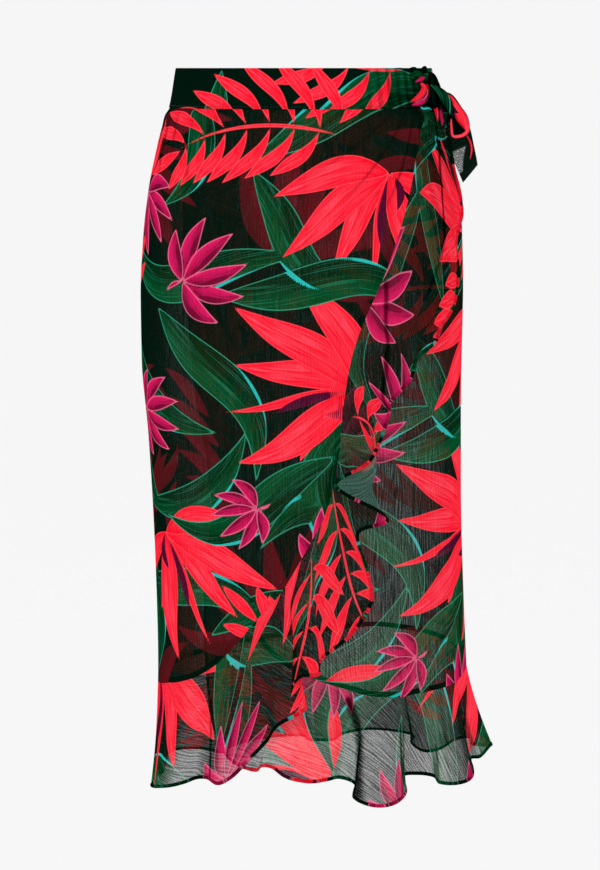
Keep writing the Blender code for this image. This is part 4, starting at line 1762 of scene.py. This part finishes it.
@dataclass(frozen=True)
class PaddedFold:
    """A fold of gathered cloth: a flattened tube that swells and tapers along a bent line."""

    place: PrintPlace
    line: tuple[Bend, ...]
    pleats: int = 2
    flatness: float = 0.55
    shadow: float = 0.75
    outward: tuple[float, float, float] = (0.30, -0.95, 0.0)

    def part(self) -> Part:
        """Carry the fold along its line, with painted shade at its two sides and in the small pleats along
        it.

        Returns:
            The fold's surface.
        """
        *path, half = rounded(self.line, finely(self.line, 12), "x", "y", "z", "half")
        path, half = joined(*path), np.maximum(half, 0.3)
        beside = np.cross(np.gradient(path, axis=0), np.array(self.outward))
        cloth = tube(path, beside, half, self.flatness, 32)
        share = cloth.flat[..., 0] / half[:, None]
        pleat = (0.5 + 0.5 * np.cos(np.pi * (share * self.pleats + 1))) ** 5
        # Painted shade at the fold's two sides and in its small pleats.
        cloth.crease_shade = (1 - self.shadow * np.abs(share) ** 3) * (1 - 0.6 * pleat)
        return Part(cloth, self.place, path[:, None])


def folded(place: tuple[float, ...], *bends: tuple[float, ...], **form: float) -> PaddedFold:
    """Return a padded fold along its bends, cut from a place of the print."""
    return PaddedFold(PrintPlace(*place), table(Bend, *bends), **form)


KNOT_FOLDS = (
    folded(
        (115, 297), (109.8, -61.5, 9.7, 1.6), (114.2, -58.2, 13.3, 4.5), (118.5, -55.3, 13.3, 4.9),
        (123, -51.4, 9.6, 2.1),
    ),
    folded(
        (72, 256), (119.6, -55.3, 8.6, 2.1), (125.1, -51.7, 10.6, 4.7), (130.6, -46.4, 10.1, 4.5),
        (135.3, -39.7, 9, 1.3),
    ),
    folded(
        (115, 217, -107), (115.4, -65.1, 6.6, 0.5), (119.1, -64, 8.6, 2.3), (122.5, -60.5, 10.2, 2.3),
        (125.2, -57.2, 11.7, 0.5), pleats=1,
    ),
    folded(
        (255, 312, 124), (121.4, -61.1, 5.5, 1.6), (124.6, -61.9, 0.4, 3.4), (121.8, -65.9, -5.8, 3.8),
        (117, -68.5, -10.4, 3.4), (111.2, -68.6, -13.5, 1.3), pleats=3,
    ),
    folded(
        (110, 224, -80), (128, -57.1, -0.7, 1.6), (126.7, -62.8, -6.9, 3), (123.4, -65.9, -12.5, 3.4),
        (118.1, -68.6, -15.6, 2.8), (111.8, -68.9, -17.1, 0.8),
    ),
    folded(
        (274, 195.3, -90), (120.8, -68.4, -19.2, 0.6), (124, -67.6, -21.2, 1.5), (129, -65, -20.8, 1.5),
        (132.8, -62, -22.6, 0.5),
    ),
    folded(
        (280, 339, 76), (128.2, -52.6, 4.4, 1.1), (132.5, -52.7, -3.9, 2.8), (136.5, -50.4, -14.3, 3),
        (139, -53.1, -25.7, 2.5), (141.2, -54.6, -37.2, 1.1),
    ),
    folded(
        (104, 220, -106), (130.4, -52.1, 2.3, 0.8), (135.8, -50.9, -7, 2.5), (140.9, -46.7, -17.5, 3),
        (143.4, -50.9, -27.9, 2.3), (145.1, -51.5, -38.3, 1.1),
    ),
    folded(
        (310, 255), (131.6, -48.3, 4.4, 1.1), (140.9, -42.4, -4.1, 3.4), (147.2, -38.4, -14.7, 3.6),
        (150.2, -38.5, -27.3, 3.2), (152.3, -38.5, -41.9, 1.5),
    ),
)
LOOP_FOLDS = (
    folded(
        (166, 329, 149), (131.1, -57, 3.4, 1.1), (139, -58, -1.4, 3.8), (146.4, -58, -9, 5.4),
        (151.4, -58, -19, 4.6), (156.4, -57, -31.5, 0.8), pleats=1, flatness=0.3, shadow=0.45,
    ),
    folded(
        (270, 348, 60), (152.5, -54, -7, 0.8), (158.9, -55, -18.5, 4), (164.2, -56, -29, 6.6),
        (168.6, -56, -37, 5.2), (171, -56, -44, 2.6), (166.5, -56, -48.6, 2.1), (160.5, -56, -50.2, 1.8),
        (155.6, -56, -49.2, 1.5), (154.3, -56, -41.3, 1.4), (154, -55, -31.9, 0.9), pleats=1,
        flatness=0.35, shadow=0.4,
    ),
)
TAIL_FOLDS = (
    folded(
        (260, 352, 60), (170.9, -41, -48.1, 0.5), (175.5, -39, -56.5, 1.2), (177.3, -38, -65, 1.2),
        (175.9, -37, -74.6, 0.4), pleats=1,
    ),
)


@dataclass
class Knot:
    """The knot: a twisted body in shadow, with the folds of cloth wound over it."""

    angle: float = 334.5
    below: float = 25.0
    lift: float = 11.0
    half_side: float = 10.0
    half_out: float = 7.0
    half_up: float = 21.0
    back_lift: float = LAP_LIFT + 0.8 + 1.1 + 0.3
    grooves: int = 5
    groove_depth: float = 0.13
    twist: float = 0.075
    rows: int = 44
    columns: int = 72
    place: PrintPlace = PrintPlace(322, 58)

    def core(self, body: BodyForm) -> Part:
        """Shape the knot's body: a ball stretched upright, grooved along a twist and flat at its back.

        Args:
            body: The body's form.

        Returns:
            The body's surface.
        """
        ends = body.at(np.array([self.angle - 1, self.angle + 1]), self.below, 0.0)
        sideways = (ends[1] - ends[0]) / np.linalg.norm(ends[1] - ends[0])
        outward = np.array([sideways[1], -sideways[0], 0.0])
        level = np.linspace(0.02, np.pi - 0.02, self.rows)[:, None]
        bearing = np.linspace(0, 2 * np.pi, self.columns, endpoint=False)
        up = np.cos(level)
        swirl = self.grooves * bearing + self.twist * up * self.half_up
        groove = 1 + self.groove_depth * np.cos(swirl) + 0.05 * np.cos(11 * bearing - 3.0 * up)
        side = np.sin(level) * np.cos(bearing) * self.half_side * groove
        out = self.lift + np.sin(level) * np.sin(bearing) * self.half_out * groove
        foot = body.at(self.angle, self.below - up * self.half_up, 0.0)
        points = foot + sideways * side[..., None] + outward * np.maximum(out, self.back_lift)[..., None]
        # Painted shade: the knot's body is darkened overall, most in its twisted grooves.
        flat, crease_shade = joined(bearing * 9, level * 15), 0.45 + 0.4 * np.cos(swirl)
        cloth = Cloth(points, flat, around=True, crease_shade=crease_shade)
        return Part(cloth, self.place, points.mean(axis=1, keepdims=True))

    def build(self, shop: Workshop) -> None:
        """Build the knot.

        Args:
            shop: The workshop.
        """
        parts = [self.core(shop.body), *(fold.part() for fold in KNOT_FOLDS)]
        piece = shop.piece("tie_knot_folds", parts, DOUBLED_LOOK, "tie_knot_cloth")
        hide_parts("tie_knot")


@dataclass
class TieEnds:
    """The short loop and the hanging tail that leave the knot."""

    loop_place: PrintPlace = PrintPlace(322, 58)
    tail_place: PrintPlace = PrintPlace(372, 5, 90)
    tail_reach: tuple[float, ...] = (2.0, 5.0, 6.0, 6.0, 3.0, 0.0, 0.0)
    tail_lean: float = 5.0
    inward: float = 8.0
    columns: int = 49

    def sections(self, rows: tuple[Strap, ...], steps: int) -> list[np.ndarray]:
        """Return a strap's columns, rounded through its rows."""
        names = ("outer_x", "outer_z", "inner_x", "inner_z", "y", "gape")
        return [values[:, None] for values in rounded(rows, finely(rows, steps), *names)]

    def loop_cloth(self) -> Cloth:
        """Shape the loop: flattened rings between its two edges, gaping by the table's last column.

        Returns:
            The loop's surface.
        """
        outer_x, outer_z, inner_x, inner_z, y, gape = self.sections(TIE_LOOP, 12)
        bearing = np.linspace(0, 2 * np.pi, self.columns)
        x = (outer_x + inner_x) / 2 + (outer_x - inner_x) / 2 * np.cos(bearing)
        z = (outer_z + inner_z) / 2 + (outer_z - inner_z) / 2 * np.cos(bearing)
        points = joined(x, y + gape / 2 * np.sin(bearing), z)
        along = running_length(points).mean(axis=1)[:, None]
        # Painted shade: the whole loop's colour is darkened by half.
        return Cloth(points, joined(along, bearing * 6.5), crease_shade=0.5)

    def tail_cloth(self) -> Cloth:
        """Shape the tail: straight across between its edges, bowed and leaning forwards.

        Returns:
            The tail's surface.
        """
        outer_x, outer_z, inner_x, inner_z, y, gape = self.sections(TIE_TAIL, 16)
        reach = rounded_through(np.array(self.tail_reach), finely(TIE_TAIL, 16))[:, None]
        part = np.linspace(0, 1, self.columns)
        x = outer_x * (1 - part) + (inner_x - reach) * part
        z = outer_z * (1 - part) + inner_z * part
        y = y - gape * 2 * part * (1 - part) - self.tail_lean * part * limited(reach / 5)
        points = joined(x, y, z)
        along = running_length(points).mean(axis=1)[:, None]
        down = along / along.max()
        single = limited((down - 0.66) * 60) * limited((0.92 - down) * 60)
        single = single * limited((part - 0.30 - 1.9 * (down - 0.66)) * 30)
        return Cloth(points, joined(along, part * 27), sheer=0.22 * single)

    def build(self, shop: Workshop) -> None:
        """Args:
            shop: The workshop.
        """
        for name, cloth, place, folds in (
            ("tie_loop", self.loop_cloth(), self.loop_place, LOOP_FOLDS),
            ("tie_tail", self.tail_cloth(), self.tail_place, TAIL_FOLDS),
        ):
            slot = name + "_cloth"
            inner = cloth.points.mean(axis=1, keepdims=True) + np.array([0.0, self.inward, 0.0])
            piece = shop.piece(name + "_sheet", [Part(cloth, place, inner)], DOUBLED_LOOK, slot)
            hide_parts(name)
            edge = shop.piece(name + "_folds", [fold.part() for fold in folds], DOUBLED_LOOK, slot)
            across = round(float(cloth.depth()[:, -1].mean()) * MM, 3)
            along = round(float(np.ptp(cloth.flat[..., 0])) * MM, 3)
            min(cloth.area(), across * along)


@dataclass(frozen=True)
class ProductCamera:
    """The camera of the product photograph: level with the waistband and tilted down."""

    x: float = -5.4
    y: float = -2300.0
    z: float = 21.0
    tilt: float = 9.88
    lens: float = 87.19

    def place(self) -> None:
        """Put the camera in the scene and make it the scene's own."""
        data = bpy.data.cameras.new("product_camera")
        data.lens, data.sensor_width = self.lens, 36.0
        data.clip_start, data.clip_end = 0.05, 60.0
        camera = put("product_camera", data)
        camera.location = (self.x * MM, self.y * MM, self.z * MM)
        camera.rotation_euler = (math.radians(90 - self.tilt), 0.0, 0.0)
        bpy.context.scene.camera = camera


@dataclass(frozen=True)
class Softbox:
    """A square area light and where it stands, in metres."""

    name: str
    place: tuple[float, float, float]
    size: float
    power: float


@dataclass(frozen=True)
class Studio:
    """A pale round sweep for floor and backdrop, with soft lights."""

    radius: float = 6.0
    corner: float = 1.6
    height: float = 5.5
    floor_z: float = -1.5
    glow: float = 0.86
    pale: float = 0.06
    sky: float = 0.95
    aim: tuple[float, float, float] = (0.0, 0.0, -0.38)
    bounces: int = 40
    lights: tuple[Softbox, ...] = table(
        Softbox,
        ("key_left", (-2.6, -3.4, 1.7), 1.8, 44.0), ("key_right", (2.4, -3.6, 1.3), 1.8, 30.0),
        ("back_left", (-2.8, 3.4, 1.4), 1.8, 22.0), ("back_right", (2.8, 3.4, 1.4), 1.8, 22.0),
    )

    def sweep(self) -> None:
        """Make the sweep: a flat floor, a rounded corner and an upright wall, turned round the middle."""
        bend, inner = np.linspace(0, np.pi / 2, 16), self.radius - self.corner
        reach = np.concatenate([[0.02], inner + self.corner * np.sin(bend), [self.radius]])
        level = np.concatenate([[0.0], self.corner - self.corner * np.cos(bend), [self.height]])
        turn = np.linspace(0, 2 * np.pi, 96, endpoint=False)
        x, y = np.outer(reach, np.cos(turn)), np.outer(reach, np.sin(turn))
        grid = Cloth(joined(x, y, self.floor_z + level[:, None]) / MM, np.zeros(0), around=True)
        points = grid.points.reshape(-1, 3)
        faces = outwards(points, grid.faces().tolist(), points * 2) + [list(range(len(turn)))]
        mesh = fill_mesh("sweep", points, faces)
        made = put("sweep", mesh)
        mesh.materials.append(Desk("pale_sweep").surface({
            "Base Color": (self.pale, self.pale, self.pale, 1.0),
            "Roughness": 1.0,
            "Specular IOR Level": 0.0,
            "Emission Color": (1.0, 1.0, 1.0, 1.0),
            "Emission Strength": self.glow,
        }))

    def light(self) -> None:
        """Set the sky's even light and the softboxes, each aimed at the skirt's middle."""
        world = bpy.data.worlds.new("studio_air")
        world.use_nodes = True
        background = world.node_tree.nodes["Background"]
        background.inputs["Color"].default_value = (1.0, 1.0, 1.0, 1.0)
        background.inputs["Strength"].default_value = self.sky
        bpy.context.scene.world = world
        for box in self.lights:
            data = bpy.data.lights.new(box.name, "AREA")
            data.shape, data.size, data.energy = "SQUARE", box.size, box.power
            lamp = put(box.name, data)
            x, y, z = np.array(box.place) - np.array(self.aim)
            lamp.location = box.place
            lamp.rotation_euler = (math.atan2(math.hypot(x, y), z), 0.0, math.atan2(x, -y))

    def set_up(self) -> None:
        """Make the sweep and the lights, and let light through many sheer layers."""
        self.sweep()
        self.light()
        bpy.context.scene.view_settings.view_transform = "Standard"
        bpy.context.scene.cycles.transparent_max_bounces = self.bounces


def back_seam(angles: np.ndarray) -> np.ndarray:
    """Return the back seam's depth at angles, smoothed through its points."""
    return smooth_through(column(BACK_SEAM, "angle"), column(BACK_SEAM, "below"), angles)


def trimmed(folds: tuple[Fold, ...], first: float, last: float) -> tuple[Fold, ...]:
    """Turn the first and the last row a little, to leave the side seam's gap.

    Args:
        folds: The flounce's rows.
        first: Degrees to turn the first row by.
        last: Degrees to turn the last row by.

    Returns:
        The rows.
    """
    start, end = (
        replace(row, seam_angle=row.seam_angle + turn, hem_angle=row.hem_angle + turn)
        for row, turn in ((folds[0], first), (folds[-1], last))
    )
    return (start, *folds[1:-1], end)


def seam_edges(folds: Sequence[Fold]) -> tuple[Edge, ...]:
    """Return a flounce's seam as a panel's edge."""
    return tuple(Edge(row.seam_angle, row.seam_below) for row in folds)


def main() -> None:
    """Build the studio and the sarong, piece by piece."""
    logging.basicConfig(level=logging.INFO, format="%(name)s: %(message)s")
    ProductCamera().place()
    Studio().set_up()
    shop = Workshop()
    gap = HALF_SEAM_GAP
    depths = back_seam(column(BACK_FLOUNCE, "seam_angle"))
    back_folds = tuple(replace(row, seam_below=float(depth)) for row, depth in zip(BACK_FLOUNCE, depths))
    back_folds = trimmed(back_folds, gap, -gap)
    over_folds, under_folds = trimmed(OVER_FLOUNCE, 0.0, gap), trimmed(UNDER_FLOUNCE, -gap, 0.0)
    over_edge = seam_edges(over_folds[OVER_PANEL_START:])
    under_edge = (*seam_edges(under_folds), *UNDER_HIDDEN_EDGE)
    level, inset = (np.linspace(side, LEFT_SEAM - side, BACK_EDGE_POINTS) for side in (0.0, gap))
    back_edge = table(Edge, *zip(inset, back_seam(level)))
    Waistband().build(shop)
    for panel in (
        Panel(
            "over_panel", over_edge, RIGHT_SEAM, PrintPlace(230, 0), len(over_edge) - 1, OVER_LOOK,
            (LEFT_SEAM + gap,),
        ),
        Panel(
            "under_panel", under_edge, 0.0, PrintPlace(60, 470), len(under_folds) - 1, UNDER_LOOK,
            (RIGHT_SEAM - gap,),
        ),
        Panel(
            "back_panel", back_edge, RIGHT_SEAM, PrintPlace(300, 250), len(back_edge) - 1, BACK_LOOK,
            (gap, LEFT_SEAM - gap), 90.0,
        ),
    ):
        panel.build(shop)
    for flounce in (
        Flounce(
            "over_flounce", over_folds, RIGHT_SEAM, PrintPlace(161, 527, 146), 320.0, -62.0, 9.0,
            OVER_FOLD_LINES, OVER_TURNED,
        ),
        Flounce(
            "under_flounce", under_folds, 0.0, PrintPlace(260, 420, 150), 110.0, -20.0,
            fold_lines=UNDER_FOLD_LINES,
        ),
        Flounce("back_flounce", back_folds, RIGHT_SEAM, PrintPlace(90, 330, -10), 300.0),
    ):
        flounce.build(shop)
    Knot().build(shop)
    TieEnds().build(shop)


if __name__ == "__main__":
    main()
